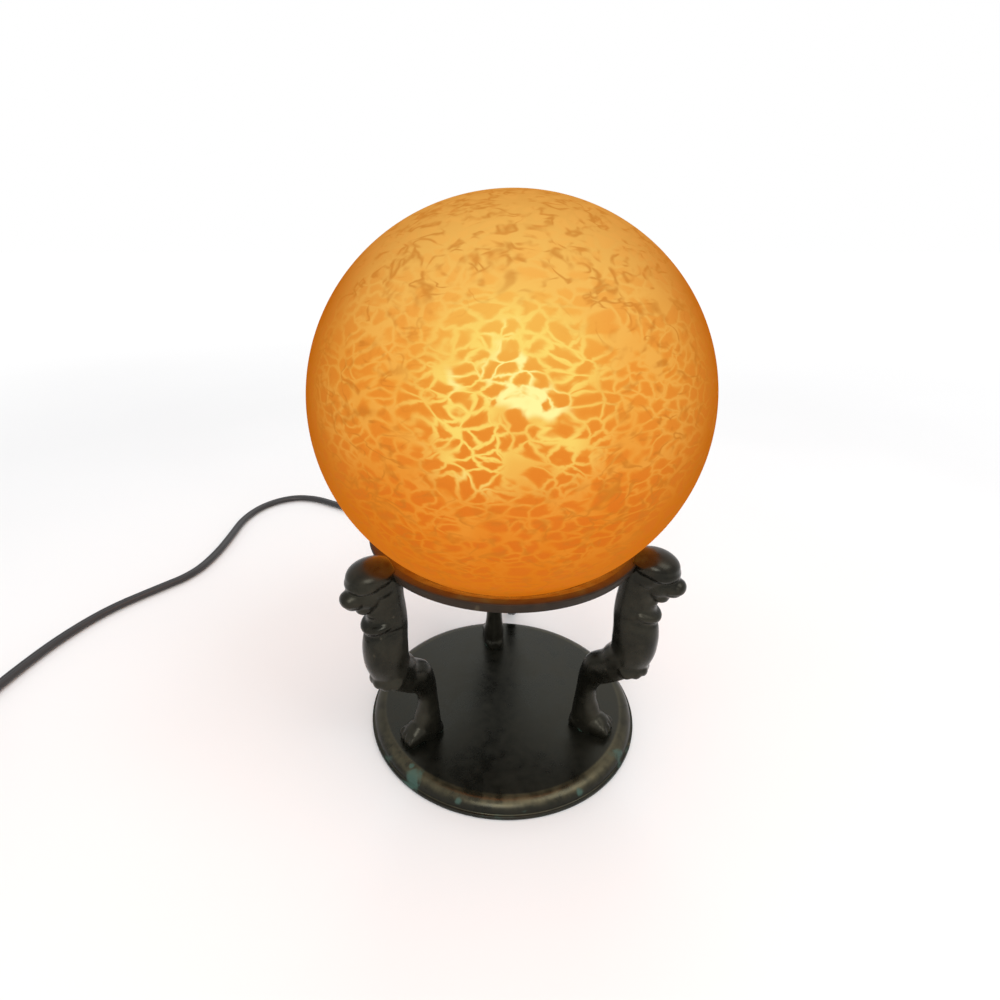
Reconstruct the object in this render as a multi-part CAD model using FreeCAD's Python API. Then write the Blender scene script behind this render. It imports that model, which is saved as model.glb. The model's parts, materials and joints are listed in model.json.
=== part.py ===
import FreeCAD, Part

import math
import os

from FreeCAD import Matrix, Placement, Rotation, Vector

# Figural table lamp: a round cast base, three cast beast-headed legs, a ring gallery with a
# spun pan, a bulb holder with its bulb, a blown glass globe, and a flat twin lead with a
# switch and a plug.  Millimetres, +Z up.  The origin is the centre of the face that the lamp
# stands on, and the front of the lamp looks along -Y.

# ---- base -----------------------------------------------------------------------------------
BASE_RADIUS = 63.5
BASE_TOP = 7.0
BASE_RIM_LIFT = 0.3            # the cast rim stays this far above the table
FLANGE_HEIGHT = 2.0            # the thin foot bead that runs round the rim
FLANGE_SETBACK = 1.1
SHOULDER_SETBACK = 6.7         # from the rim to where the flat top begins
FELT_THICKNESS = 1.3
FELT_RADIUS = 60.0
FELT_CLEARANCE = 0.3
RECESS_RADIUS = 27.0
WEB_THICKNESS = 3.0

# ---- gallery ring and pan -------------------------------------------------------------------
RING_RADIUS = 57.8             # outer edge of the top lip
RING_FOOT_SETBACK = 1.2        # the wall leans out from the foot to the lip
RING_HEIGHT = 4.5
RING_WIDTH = 9.4               # from the lip's outer edge to the bore
RING_SEAT_HEIGHT = 1.5         # of the bore's edge, which carries the globe
RING_LIP_WIDTH = 2.6
RING_EDGE_ROUND = 0.6
PAN_THICKNESS = 1.0
PAN_FLANGE_REACH = 4.6         # of the flange under the ring, out from the bore
PAN_MOUTH_SETBACK = 0.9        # of the cone's mouth, in from the bore
PAN_FLOOR_SETBACK = 18.4
PAN_DEPTH = 15.0

# ---- glass globe ----------------------------------------------------------------------------
GLOBE_RADIUS = 76.2
GLOBE_HALF_HEIGHT = 74.4
GLASS_WALL = 2.6
GLOBE_MOUTH_SETBACK = 10.4     # of the ground mouth, in from the ring's bore
GLOBE_SEAT_GAP = 0.35
GLOBE_ARCS = 4                 # arcs from the mouth to the crown that make the flattened ball

# ---- figures --------------------------------------------------------------------------------
LEG_HEIGHT = 89.5              # from the base's top to the ring's underside
LEG_AXIS_OFFSET = 0.3          # the trunk's axis stands this far outside the ring's lip
LEG_AZIMUTHS = {"leg_front_left": 214.0, "leg_front_right": 334.0, "leg_rear": 94.0}
LEG_JOINT_GAP = 0.05
LUG_REACH = 0.5                # of the nape's lug, in past the ring's bore
LUG_HEIGHT = 3.2
LUG_WIDTH = 8.5
PAW_HALF_WIDTH = 5.4
TOE_COUNT = 4
LOCK_COUNT = 5                 # leaf-like locks along the chest's lower edge
LIMB_STEPS = 2                 # bands between two drawn sections of a limb

# ---- screws ---------------------------------------------------------------------------------
FOOT_SCREW_RADIUS = 2.0
FOOT_SCREW_LENGTH = 11.0
FOOT_SCREW_HEAD_RADIUS = 4.0
FOOT_SCREW_HEAD_HEIGHT = 2.1
RING_SCREW_RADIUS = 1.25
RING_SCREW_HEAD_RADIUS = 2.3
RING_SCREW_HEAD_HEIGHT = 1.6
RING_SCREW_SETBACK = 2.2       # from the ring's bore to its screws
RING_SCREW_THREAD_DEPTH = 1.9
SCREW_CLEARANCE = 0.1

# ---- bulb holder ----------------------------------------------------------------------------
NIPPLE_RADIUS = 5.1
NIPPLE_BORE_RADIUS = 3.6
NIPPLE_BELOW = 5.0
NUT_ACROSS_FLATS = 14.0
NUT_HEIGHT = 3.0
WASHER_RADIUS = 9.0
WASHER_THICKNESS = 1.0
CAP_HUB_RADIUS = 7.2
CAP_HUB_HEIGHT = 4.0
CAP_RADIUS = 17.0
CAP_HEIGHT = 16.5
CAP_WALL = 0.9
OUTLET_RADIUS = 4.7
OUTLET_HEIGHT = 8.6            # of the side outlet's axis above the pan floor
OUTLET_REACH = 20.0
HOLDER_SHELL_HEIGHT = 28.0
HOLDER_SHELL_WALL = 0.8
LINER_WALL = 0.8
INSERT_HEIGHT = 9.0
INSERT_RADIUS = 13.9
SCREW_SHELL_RADIUS = 13.35     # bore of the threaded shell
SCREW_SHELL_WALL = 0.4
SCREW_SHELL_HEIGHT = 21.0
CONTACT_RADIUS = 3.4
CONTACT_HEIGHT = 1.1
TERMINAL_RADIUS = 2.0
FIT_CLEARANCE = 0.1

# ---- bulb -----------------------------------------------------------------------------------
BULB_CAP_RADIUS = 13.0
BULB_CAP_HEIGHT = 20.0
BULB_CAP_WALL = 0.35
BULB_RADIUS = 23.8
BULB_LENGTH = 84.0
BULB_GLASS = 0.9
BULB_CONTACT_RADIUS = 4.2
BULB_TIP_GAP = 0.3

# ---- lead -----------------------------------------------------------------------------------
LEAD_WIDTH = 5.5
LEAD_AZIMUTH = 80.0
GROMMET_FLANGE_RADIUS = 5.6
GROMMET_FLANGE = 1.2
GROMMET_NECK_RADIUS = 4.2
GROMMET_HOLE_CLEARANCE = 0.1
GROMMET_SEAT_GAP = 0.3         # lets the flat inner flange clear the hollow of the cone
GROMMET_PLACE = 0.66           # share of the pan's cone below its mouth where the lead leaves
LEAD_BEND_SHARE = 0.45
LEAD_FLOOR_GAP = 0.05

# Route of the lead from the grommet to the switch, chosen by hand (x, y, z).
LEAD_ROUTE = [
    (9.0, 51.0, 70.9), (9.0, 52.1, 60.0), (8.2, 52.0, 47.0), (7.0, 52.0, 33.0),
    (7.0, 55.2, 20.5), (8.0, 64.0, 10.6), (9.2, 75.5, 5.2), (9.6, 88.5, 2.8),
    (7.0, 106.0, 2.8), (-3.0, 129.0, 2.8), (-22.0, 152.0, 2.8), (-47.0, 174.0, 2.8),
    (-76.0, 195.0, 2.8), (-105.0, 213.0, 2.8), (-130.0, 227.5, 2.8), (-150.0, 240.0, 2.8),
    (-170.5, 242.0, 2.8), (-189.0, 228.0, 2.8), (-198.5, 203.0, 2.8), (-198.0, 174.0, 2.8),
    (-198.5, 146.0, 2.8), (-203.5, 119.0, 2.8), (-221.0, 99.5, 2.8), (-239.0, 78.0, 2.8),
    (-251.0, 50.0, 2.8), (-257.5, 21.0, 2.8), (-260.5, -8.0, 3.4),
]

# ---- switch on the lead ---------------------------------------------------------------------
SWITCH_LENGTH = 56.0
SWITCH_WIDTH = 21.0
SWITCH_HEIGHT = 13.6
SWITCH_CORNER = 6.0
SWITCH_WALL = 1.6
SWITCH_CENTRE = (-262.0, -60.0)
SWITCH_HEADING = 268.5         # degrees: the way that the lead runs through the switch
WHEEL_RADIUS = 9.6
WHEEL_THICKNESS = 4.2
WHEEL_OFFSET = 4.4             # of the wheel's axle from the housing's middle, sideways
WHEEL_CLEARANCE = 0.4
WHEEL_RIDGES = 24
AXLE_RADIUS = 1.5
AXLE_CLEARANCE = 0.05
SWITCH_SCREW_RADIUS = 1.2
SWITCH_SCREW_HEAD_RADIUS = 2.2

# ---- coil -----------------------------------------------------------------------------------
COIL_HALF_TURNS = 5            # in each of the two layers
COIL_INNER_RADIUS = 22.0
COIL_PITCH = 6.8
COIL_APPROACH = 30.0           # from the switch's end to the start of the turns
TAIL_LENGTH = 29.0

# ---- plug -----------------------------------------------------------------------------------
PLUG_LENGTH = 26.0
PLUG_WIDTH = 23.0
PLUG_NECK_WIDTH = 11.0
BLADE_LENGTH = 17.5
BLADE_WIDTH = 6.35
BLADE_THICKNESS = 1.5
BLADE_SPACING = 12.7
BLADE_ROOT = 7.0

# ---- heights and places that follow ---------------------------------------------------------
FIGURE_SCALE = LEG_HEIGHT / 89.5    # the figure is drawn 89.5 tall
RING_BORE_RADIUS = RING_RADIUS - RING_WIDTH
RING_SCREW_CIRCLE = RING_BORE_RADIUS + RING_SCREW_SETBACK
PAN_FLANGE_RADIUS = RING_BORE_RADIUS + PAN_FLANGE_REACH
PAN_MOUTH_RADIUS = RING_BORE_RADIUS - PAN_MOUTH_SETBACK
PAN_FLOOR_RADIUS = RING_BORE_RADIUS - PAN_FLOOR_SETBACK
GLOBE_MOUTH_RADIUS = RING_BORE_RADIUS - GLOBE_MOUTH_SETBACK
RING_BASE_Z = BASE_TOP + LEG_HEIGHT
RING_TOP_Z = RING_BASE_Z + RING_HEIGHT
RING_SEAT_Z = RING_BASE_Z + RING_SEAT_HEIGHT
LEG_AXIS = RING_RADIUS + LEG_AXIS_OFFSET
FOOT_SCREW_CIRCLE = LEG_AXIS - 15.1 * FIGURE_SCALE
LUG_INNER_RADIUS = RING_BORE_RADIUS - LUG_REACH
GLOBE_CENTRE_Z = (RING_SEAT_Z + GLOBE_SEAT_GAP
                  + GLOBE_HALF_HEIGHT * math.sqrt(1 - (RING_BORE_RADIUS / GLOBE_RADIUS) ** 2))
PAN_FLOOR_Z = RING_BASE_Z - PAN_DEPTH
PAN_UNDER_Z = PAN_FLOOR_Z - PAN_THICKNESS
OUTLET_Z = PAN_FLOOR_Z + OUTLET_HEIGHT
CAP_TOP_Z = PAN_FLOOR_Z + CAP_HEIGHT
HOLDER_TOP_Z = CAP_TOP_Z - 1.5 + HOLDER_SHELL_HEIGHT
INSERT_Z = CAP_TOP_Z - 4.0
CONTACT_Z = INSERT_Z + INSERT_HEIGHT
BULB_NECK_RADIUS = BULB_CAP_RADIUS - BULB_CAP_WALL
BULB_TIP_Z = CONTACT_Z + CONTACT_HEIGHT + BULB_TIP_GAP
LEAD_FLOOR_Z = LEAD_WIDTH / 2 + LEAD_FLOOR_GAP
SWITCH_AXIS_Z = SWITCH_HEIGHT / 2
COIL_LAYER_Z = (LEAD_FLOOR_Z, LEAD_FLOOR_Z + COIL_PITCH)


# ---- shared shape helpers -------------------------------------------------------------------
def turn_about_z(shape, degrees):
    """Turn a shape about the lamp's axis."""
    turned = shape.copy()
    turned.rotate(Vector(0, 0, 0), Vector(0, 0, 1), degrees)
    return turned


def revolve_outline(points):
    """Revolve a closed outline of (radius, height) points; a 3-tuple marks an arc's middle."""
    edges = []
    start = previous = Vector(points[0][0], 0, points[0][1])
    through = None
    for point in list(points[1:]) + [points[0]]:
        here = Vector(point[0], 0, point[1])
        if len(point) == 3:
            through = here
            continue
        if through is not None:
            edges.append(Part.Arc(previous, through, here).toShape())
            through = None
        elif here.distanceToPoint(previous) > 1e-9:
            edges.append(Part.LineSegment(previous, here).toShape())
        previous = here
    assert previous.distanceToPoint(start) < 1e-9
    return Part.Face(Part.Wire(edges)).revolve(Vector(0, 0, 0), Vector(0, 0, 1), 360)


def cylinder(radius, bottom, top, centre=(0, 0)):
    """A round bar between two heights."""
    return Part.makeCylinder(radius, top - bottom, Vector(centre[0], centre[1], bottom))


def ellipse_section(centre, half_depth, half_width, lean):
    """An ellipse across a limb, lying level at lean 0 and tipped about Y by lean degrees."""
    stretch = Matrix()
    stretch.scale(half_depth, half_width, 1.0)
    wire = Part.Wire(Part.makeCircle(1.0)).transformGeometry(stretch)
    wire.rotate(Vector(0, 0, 0), Vector(0, 1, 0), lean)
    wire.translate(Vector(centre[0], 0, centre[1]))
    return Part.Wire(wire.Edges)


def eased_sections(sections):
    """The drawn sections with smoothly interpolated ones between them."""
    padded = [sections[0]] + list(sections) + [sections[-1]]
    result = []
    for index in range(len(sections) - 1):
        group = list(zip(*padded[index:index + 4]))
        for step in range(LIMB_STEPS):
            t = step / LIMB_STEPS
            result.append(tuple(
                0.5 * (2 * q + (r - p) * t + (2 * p - 5 * q + 4 * r - s) * t * t
                       + (3 * q - p - 3 * r + s) * t ** 3)
                for p, q, r, s in group))
    result.append(tuple(sections[-1]))
    return result


def loft_limb(sections):
    """A banded solid through sections of (radius, height, half depth, half width, lean)."""
    wires = [ellipse_section((r, z), depth, width, lean)
             for r, z, depth, width, lean in eased_sections(sections)]
    return Part.makeLoft(wires, True, True)


def fuse_all(shapes):
    """One solid from several that overlap."""
    body = shapes[0]
    for shape in shapes[1:]:
        body = body.fuse(shape)
    return body


def rounded_route(points, share=LEAD_BEND_SHARE):
    """A wire of straight runs joined by tangent arcs, with the radius of each arc."""
    places = [Vector(*point) for point in points]
    edges = []
    radii = []
    start = places[0]
    for before, corner, after in zip(places, places[1:], places[2:]):
        back = (before - corner)
        ahead = (after - corner)
        reach = share * min(back.Length, ahead.Length)
        back.normalize()
        ahead.normalize()
        half_turn = (math.pi - back.getAngle(ahead)) / 2
        radius = reach / math.tan(half_turn)
        middle_way = (back + ahead).normalize()
        leave = corner + back * reach
        join = corner + ahead * reach
        middle = corner + middle_way * (radius / math.cos(half_turn) - radius)
        edges.append(Part.LineSegment(start, leave).toShape())
        edges.append(Part.Arc(leave, middle, join).toShape())
        radii.append(radius)
        start = join
    edges.append(Part.LineSegment(start, places[-1]).toShape())
    return Part.Wire(edges), radii


def tube_along(wire, radius):
    """A round tube along a wire, square to it at both ends."""
    first = wire.OrderedEdges[0]
    start = first.valueAt(first.FirstParameter)
    ahead = first.tangentAt(first.FirstParameter)
    ring = Part.Wire(Part.makeCircle(radius, start, ahead))
    return wire.makePipeShell([ring], True, False)


# ---- base -----------------------------------------------------------------------------------
def foot_places():
    """The centres of the foot screws, one under each paw."""
    return [(FOOT_SCREW_CIRCLE * math.cos(math.radians(azimuth)),
             FOOT_SCREW_CIRCLE * math.sin(math.radians(azimuth)))
            for azimuth in LEG_AZIMUTHS.values()]


def make_base_disc():
    """The cast base: foot bead, rounded shoulder, flat top, felt recess and screw holes."""
    bead_radius = BASE_RADIUS - FLANGE_SETBACK
    flat_radius = BASE_RADIUS - SHOULDER_SETBACK
    shoulder_width = bead_radius - flat_radius
    shoulder_height = BASE_TOP - FLANGE_HEIGHT
    bend = math.sqrt(0.5)
    felt_seat = FELT_RADIUS + FELT_CLEARANCE
    outline = [
        (0, BASE_TOP - WEB_THICKNESS), (RECESS_RADIUS, BASE_TOP - WEB_THICKNESS),
        (RECESS_RADIUS, FELT_THICKNESS), (felt_seat, FELT_THICKNESS), (felt_seat, BASE_RIM_LIFT),
        (BASE_RADIUS - 0.4, BASE_RIM_LIFT), (BASE_RADIUS, BASE_RIM_LIFT + 0.4),
        (BASE_RADIUS, FLANGE_HEIGHT - 0.3), (BASE_RADIUS - 0.3, FLANGE_HEIGHT),
        (bead_radius, FLANGE_HEIGHT),
        (flat_radius + shoulder_width * bend, FLANGE_HEIGHT + shoulder_height * bend, "arc"),
        (flat_radius, BASE_TOP), (0, BASE_TOP),
    ]
    disc = revolve_outline(outline)
    head_top = FELT_THICKNESS + FOOT_SCREW_HEAD_HEIGHT + SCREW_CLEARANCE
    for place in foot_places():
        disc = disc.cut(cylinder(FOOT_SCREW_RADIUS + SCREW_CLEARANCE, 0, BASE_TOP + 1, place))
        disc = disc.cut(cylinder(FOOT_SCREW_HEAD_RADIUS + 0.4, 0, head_top, place))
    return disc


def make_base_felt():
    """The round felt that the lamp stands on."""
    return cylinder(FELT_RADIUS, 0, FELT_THICKNESS)


def make_foot_screws():
    """Pan-head screws up through the base into the paws."""
    head_base = FELT_THICKNESS + SCREW_CLEARANCE
    head_top = head_base + FOOT_SCREW_HEAD_HEIGHT
    screws = []
    for place in foot_places():
        head = cylinder(FOOT_SCREW_HEAD_RADIUS, head_base, head_top, place)
        slot = Part.makeBox(2 * FOOT_SCREW_HEAD_RADIUS, 1.0, 0.9,
                            Vector(place[0] - FOOT_SCREW_HEAD_RADIUS, place[1] - 0.5, head_base))
        shank = cylinder(FOOT_SCREW_RADIUS, head_top, head_top + FOOT_SCREW_LENGTH, place)
        screws.append(head.cut(slot).fuse(shank))
    return Part.makeCompound(screws)


# ---- figures --------------------------------------------------------------------------------
def figure_limb(rows):
    """A limb drawn as rows of offset from the figure's axis, height, depth, width and lean."""
    k = FIGURE_SCALE
    return loft_limb([(LEG_AXIS + offset * k, BASE_TOP + height * k, depth * k, width * k, lean)
                      for offset, height, depth, width, lean in rows])


def figure_ball(radius, offset, aside, height):
    """A ball drawn by its offset from the figure's axis, sideways place and height."""
    k = FIGURE_SCALE
    return Part.makeSphere(radius * k, Vector(LEG_AXIS + offset * k, aside * k,
                                              BASE_TOP + height * k))


def make_trunk():
    """Neck, collar, chest, haunch, hock, shin and ankle, from the ring down to the base."""
    return figure_limb([
        (1.2, 91.5, 7.4, 6.9, 0), (0.1, 80.0, 7.4, 6.8, 0), (0.1, 70.0, 8.4, 7.3, 0),
        (1.2, 61.0, 9.1, 8.2, 0), (1.0, 49.6, 9.0, 8.3, 4), (-0.7, 44.4, 8.4, 7.7, 14),
        (-5.5, 39.6, 7.8, 6.8, 34), (-11.7, 34.8, 7.6, 5.7, 42), (-15.1, 29.4, 5.6, 4.6, 24),
        (-16.6, 22.8, 4.5, 4.0, 3), (-16.8, 16.0, 4.9, 4.3, -3), (-16.1, 10.0, 6.2, 5.1, -5),
        (-15.5, 4.4, 7.2, 5.3, -3), (-15.4, -2.0, 7.6, 5.3, 0),
    ])


def make_paw():
    """The paw: a low rounded block with its toes side by side and pointing outward."""
    width = PAW_HALF_WIDTH
    paw = figure_limb([
        (-24.8, 1.5, 2.5, 0.5 * width, 90), (-22.2, 2.2, 4.8, 0.85 * width, 90),
        (-16.4, 2.6, 6.4, 0.97 * width, 90), (-10.8, 2.2, 5.8, width, 90),
        (-6.5, 1.4, 4.4, 0.94 * width, 90), (-4.4, 1.0, 2.6, 0.7 * width, 90),
    ])
    toe_pitch = 2 * width / TOE_COUNT
    toes = []
    for index in range(TOE_COUNT):
        side = index - (TOE_COUNT - 1) / 2
        toes.append(figure_ball(0.97 * toe_pitch, -6.2 - 0.35 * side * side, toe_pitch * side, 2.0))
    return [paw] + toes


def make_head():
    """The beast's head: a round heavy crown that overhangs a blunt muzzle."""
    crown = figure_limb([
        (-3.6, 91.8, 2.4, 4.2, 80), (-1.0, 92.6, 4.8, 7.4, 85), (4.5, 92.7, 6.2, 9.0, 90),
        (10.5, 92.6, 5.6, 8.2, 95), (14.0, 92.3, 3.8, 5.6, 98), (15.6, 92.1, 1.2, 2.2, 100),
    ])
    muzzle = figure_limb([
        (0.5, 86.4, 4.4, 5.6, 96), (6.0, 86.0, 6.6, 6.6, 100), (11.5, 84.8, 5.9, 5.9, 107),
        (15.4, 83.6, 4.3, 4.6, 112), (17.4, 82.9, 1.8, 2.2, 114),
    ])
    return [crown, muzzle]


def make_collar():
    """The mane's lower edge: a rounded roll round the neck, dipping forward."""
    k = FIGURE_SCALE
    return Part.makeTorus(7.2 * k, 1.9 * k, Vector(LEG_AXIS + 1.0 * k, 0, BASE_TOP + 70.2 * k),
                          Vector(0.15, 0, 1))


def make_fringe():
    """Leaf-like locks that end the chest in a scalloped edge."""
    locks = []
    for index in range(LOCK_COUNT):
        turn = math.radians(35.0 * (index - (LOCK_COUNT - 1) / 2))
        locks.append(figure_ball(3.0, -1.6 + 6.0 * math.cos(turn), 5.6 * math.sin(turn), 41.5))
    return locks


def ring_envelope(gap):
    """The space that the ring and the pan's flange take, grown by a joint gap."""
    outline = [
        (RING_BORE_RADIUS - 1.0, RING_BASE_Z - PAN_THICKNESS),
        (PAN_FLANGE_RADIUS + gap, RING_BASE_Z - PAN_THICKNESS),
        (PAN_FLANGE_RADIUS + gap, RING_BASE_Z),
        (RING_RADIUS - RING_FOOT_SETBACK + gap, RING_BASE_Z),
        (RING_RADIUS + gap, RING_TOP_Z - RING_EDGE_ROUND),
        (RING_RADIUS - RING_EDGE_ROUND + gap, RING_TOP_Z + gap),
        (RING_BORE_RADIUS - 1.0, RING_TOP_Z + gap),
    ]
    return revolve_outline(outline)


def make_leg():
    """One cast figure in its own plane: outward is +X, and its foot is on the base's top."""
    parts = [make_trunk()]
    parts += make_head()
    parts.append(make_collar())
    parts += make_fringe()
    parts += make_paw()
    lug_top = RING_BASE_Z - PAN_THICKNESS
    lug = Part.makeBox(LEG_AXIS - 2.0 - LUG_INNER_RADIUS, LUG_WIDTH, LUG_HEIGHT,
                       Vector(LUG_INNER_RADIUS, -LUG_WIDTH / 2, lug_top - LUG_HEIGHT))
    parts.append(lug)
    leg = fuse_all(parts)
    leg = leg.cut(ring_envelope(LEG_JOINT_GAP))
    leg = leg.cut(cylinder(BASE_RADIUS, -20, BASE_TOP))
    screw_top = (FELT_THICKNESS + SCREW_CLEARANCE + FOOT_SCREW_HEAD_HEIGHT + FOOT_SCREW_LENGTH)
    leg = leg.cut(cylinder(FOOT_SCREW_RADIUS, 0, screw_top + 0.5,
                           (FOOT_SCREW_CIRCLE, 0)))
    leg = leg.cut(cylinder(RING_SCREW_RADIUS + SCREW_CLEARANCE, lug_top - 2 * LUG_HEIGHT,
                           RING_BASE_Z + 1, (RING_SCREW_CIRCLE, 0)))
    leg = leg.cut(cylinder(RING_SCREW_HEAD_RADIUS + 0.3, lug_top - 3 * LUG_HEIGHT,
                           lug_top - LUG_HEIGHT, (RING_SCREW_CIRCLE, 0)))
    return max(leg.Solids, key=lambda solid: solid.Volume)


# ---- gallery --------------------------------------------------------------------------------
def make_gallery_ring():
    """The cast ring that the globe rests in, with a blind screw hole over each figure."""
    lip_inner = RING_RADIUS - RING_EDGE_ROUND - RING_LIP_WIDTH
    outline = [
        (RING_BORE_RADIUS, RING_BASE_Z), (RING_RADIUS - RING_FOOT_SETBACK, RING_BASE_Z),
        (RING_RADIUS, RING_TOP_Z - RING_EDGE_ROUND),
        (RING_RADIUS - RING_EDGE_ROUND * 0.29, RING_TOP_Z - RING_EDGE_ROUND * 0.29, "arc"),
        (RING_RADIUS - RING_EDGE_ROUND, RING_TOP_Z), (lip_inner, RING_TOP_Z),
        (RING_BORE_RADIUS, RING_SEAT_Z),
    ]
    ring = revolve_outline(outline)
    for azimuth in LEG_AZIMUTHS.values():
        hole = cylinder(RING_SCREW_RADIUS, RING_BASE_Z - 1, RING_BASE_Z + RING_SCREW_THREAD_DEPTH,
                        (RING_SCREW_CIRCLE, 0))
        ring = ring.cut(turn_about_z(hole, azimuth))
    return ring


def pan_wall_points():
    """The pan's inner wall in its own plane: the mouth's edge and the foot of the cone."""
    mouth = Vector(PAN_MOUTH_RADIUS, 0, RING_BASE_Z)
    foot = Vector(PAN_FLOOR_RADIUS + 4.5, 0, PAN_FLOOR_Z + 2.2)
    return mouth, foot


def grommet_frame():
    """Where the lead leaves the pan, and the outward way, in the plane at azimuth 0."""
    mouth, foot = pan_wall_points()
    down = foot - mouth
    place = mouth + down * GROMMET_PLACE
    down.normalize()
    return place, Vector(-down.z, 0, down.x)


def make_gallery_pan():
    """The spun brass pan under the globe, with its hub hole and the lead's hole."""
    mouth, foot = pan_wall_points()
    down = (foot - mouth).normalize()
    outward = Vector(-down.z, 0, down.x)
    mouth_out = mouth + outward * PAN_THICKNESS
    foot_out = foot + outward * PAN_THICKNESS
    mouth_out = mouth_out + down * ((mouth_out.z - (RING_BASE_Z - PAN_THICKNESS)) / -down.z)
    outline = [
        (mouth.x, RING_BASE_Z), (foot.x, foot.z),
        (PAN_FLOOR_RADIUS + 2.6, PAN_FLOOR_Z + 0.62, "arc"), (PAN_FLOOR_RADIUS, PAN_FLOOR_Z),
        (NIPPLE_RADIUS + FIT_CLEARANCE, PAN_FLOOR_Z), (NIPPLE_RADIUS + FIT_CLEARANCE, PAN_UNDER_Z),
        (PAN_FLOOR_RADIUS + 0.3, PAN_UNDER_Z),
        (PAN_FLOOR_RADIUS + 3.2, PAN_UNDER_Z + 0.72, "arc"), (foot_out.x, foot_out.z),
        (mouth_out.x, mouth_out.z), (PAN_FLANGE_RADIUS, RING_BASE_Z - PAN_THICKNESS),
        (PAN_FLANGE_RADIUS, RING_BASE_Z),
    ]
    pan = revolve_outline(outline)
    place, outward = grommet_frame()
    hole = Part.makeCylinder(GROMMET_NECK_RADIUS + GROMMET_HOLE_CLEARANCE, 12,
                             place - outward * 6, outward)
    pan = pan.cut(turn_about_z(hole, LEAD_AZIMUTH))
    for azimuth in LEG_AZIMUTHS.values():
        hole = cylinder(RING_SCREW_RADIUS + SCREW_CLEARANCE, RING_BASE_Z - 3, RING_BASE_Z + 1,
                        (RING_SCREW_CIRCLE, 0))
        pan = pan.cut(turn_about_z(hole, azimuth))
    return pan


def make_gallery_screws():
    """Screws up through each figure's lug and the pan's flange into the ring."""
    head_top = RING_BASE_Z - PAN_THICKNESS - LUG_HEIGHT
    head = cylinder(RING_SCREW_HEAD_RADIUS, head_top - RING_SCREW_HEAD_HEIGHT, head_top,
                    (RING_SCREW_CIRCLE, 0))
    slot = Part.makeBox(2 * RING_SCREW_HEAD_RADIUS, 0.7, 0.7,
                        Vector(RING_SCREW_CIRCLE - RING_SCREW_HEAD_RADIUS, -0.35,
                               head_top - RING_SCREW_HEAD_HEIGHT))
    shank = cylinder(RING_SCREW_RADIUS, head_top, RING_BASE_Z + RING_SCREW_THREAD_DEPTH,
                     (RING_SCREW_CIRCLE, 0))
    screw = head.cut(slot).fuse(shank)
    return Part.makeCompound([turn_about_z(screw, azimuth) for azimuth in LEG_AZIMUTHS.values()])


# ---- bulb holder ----------------------------------------------------------------------------
def make_nipple():
    """The threaded tube that clamps the holder's cap to the pan."""
    top = PAN_FLOOR_Z + CAP_HUB_HEIGHT
    bottom = PAN_UNDER_Z - WASHER_THICKNESS - NIPPLE_BELOW
    return cylinder(NIPPLE_RADIUS, bottom, top).cut(cylinder(NIPPLE_BORE_RADIUS, bottom, top))


def make_washer():
    """The flat washer under the pan."""
    top = PAN_UNDER_Z
    bore = NIPPLE_RADIUS + FIT_CLEARANCE
    return cylinder(WASHER_RADIUS, top - WASHER_THICKNESS, top).cut(
        cylinder(bore, top - WASHER_THICKNESS, top))


def make_locknut():
    """The hexagonal nut on the nipple."""
    top = PAN_UNDER_Z - WASHER_THICKNESS
    corner = NUT_ACROSS_FLATS / math.sqrt(3)
    corners = [Vector(corner * math.cos(math.radians(60 * k)),
                      corner * math.sin(math.radians(60 * k)), top - NUT_HEIGHT) for k in range(7)]
    hexagon = Part.Face(Part.makePolygon(corners)).extrude(Vector(0, 0, NUT_HEIGHT))
    return hexagon.cut(cylinder(NIPPLE_RADIUS, top - NUT_HEIGHT, top))


def outlet_cylinder(radius, start, end):
    """A bar along the side outlet's axis, from one distance to another."""
    bar = Part.makeCylinder(radius, end - start, Vector(start, 0, OUTLET_Z), Vector(1, 0, 0))
    return turn_about_z(bar, LEAD_AZIMUTH)


def make_holder_cap():
    """The holder's domed cap with its threaded hub and the side outlet for the lead."""
    hub_top = PAN_FLOOR_Z + CAP_HUB_HEIGHT
    bore = NIPPLE_RADIUS + FIT_CLEARANCE
    shoulder_z = CAP_TOP_Z - 5.0
    outer_mid = (CAP_RADIUS - 1.9, shoulder_z - 3.9, "arc")
    inner_mid = (CAP_RADIUS - 1.9 - CAP_WALL * 0.8, shoulder_z - 3.9 + CAP_WALL * 0.6, "arc")
    outline = [
        (bore, PAN_FLOOR_Z), (CAP_HUB_RADIUS, PAN_FLOOR_Z), (CAP_HUB_RADIUS, hub_top - CAP_WALL),
        outer_mid, (CAP_RADIUS, shoulder_z), (CAP_RADIUS, CAP_TOP_Z),
        (CAP_RADIUS - CAP_WALL, CAP_TOP_Z), (CAP_RADIUS - CAP_WALL, shoulder_z),
        inner_mid, (CAP_HUB_RADIUS, hub_top), (bore, hub_top),
    ]
    shell = revolve_outline(outline)
    inside = revolve_outline([(0, hub_top), (CAP_HUB_RADIUS, hub_top), inner_mid,
                              (CAP_RADIUS - CAP_WALL, shoulder_z),
                              (CAP_RADIUS - CAP_WALL, CAP_TOP_Z), (0, CAP_TOP_Z)])
    outlet = outlet_cylinder(OUTLET_RADIUS, CAP_RADIUS - 6.0, OUTLET_REACH).cut(inside)
    cap = shell.fuse(outlet).cut(outlet_cylinder(OUTLET_RADIUS - CAP_WALL, 0, OUTLET_REACH + 1))
    return max(cap.removeSplitter().Solids, key=lambda solid: solid.Volume)


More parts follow.
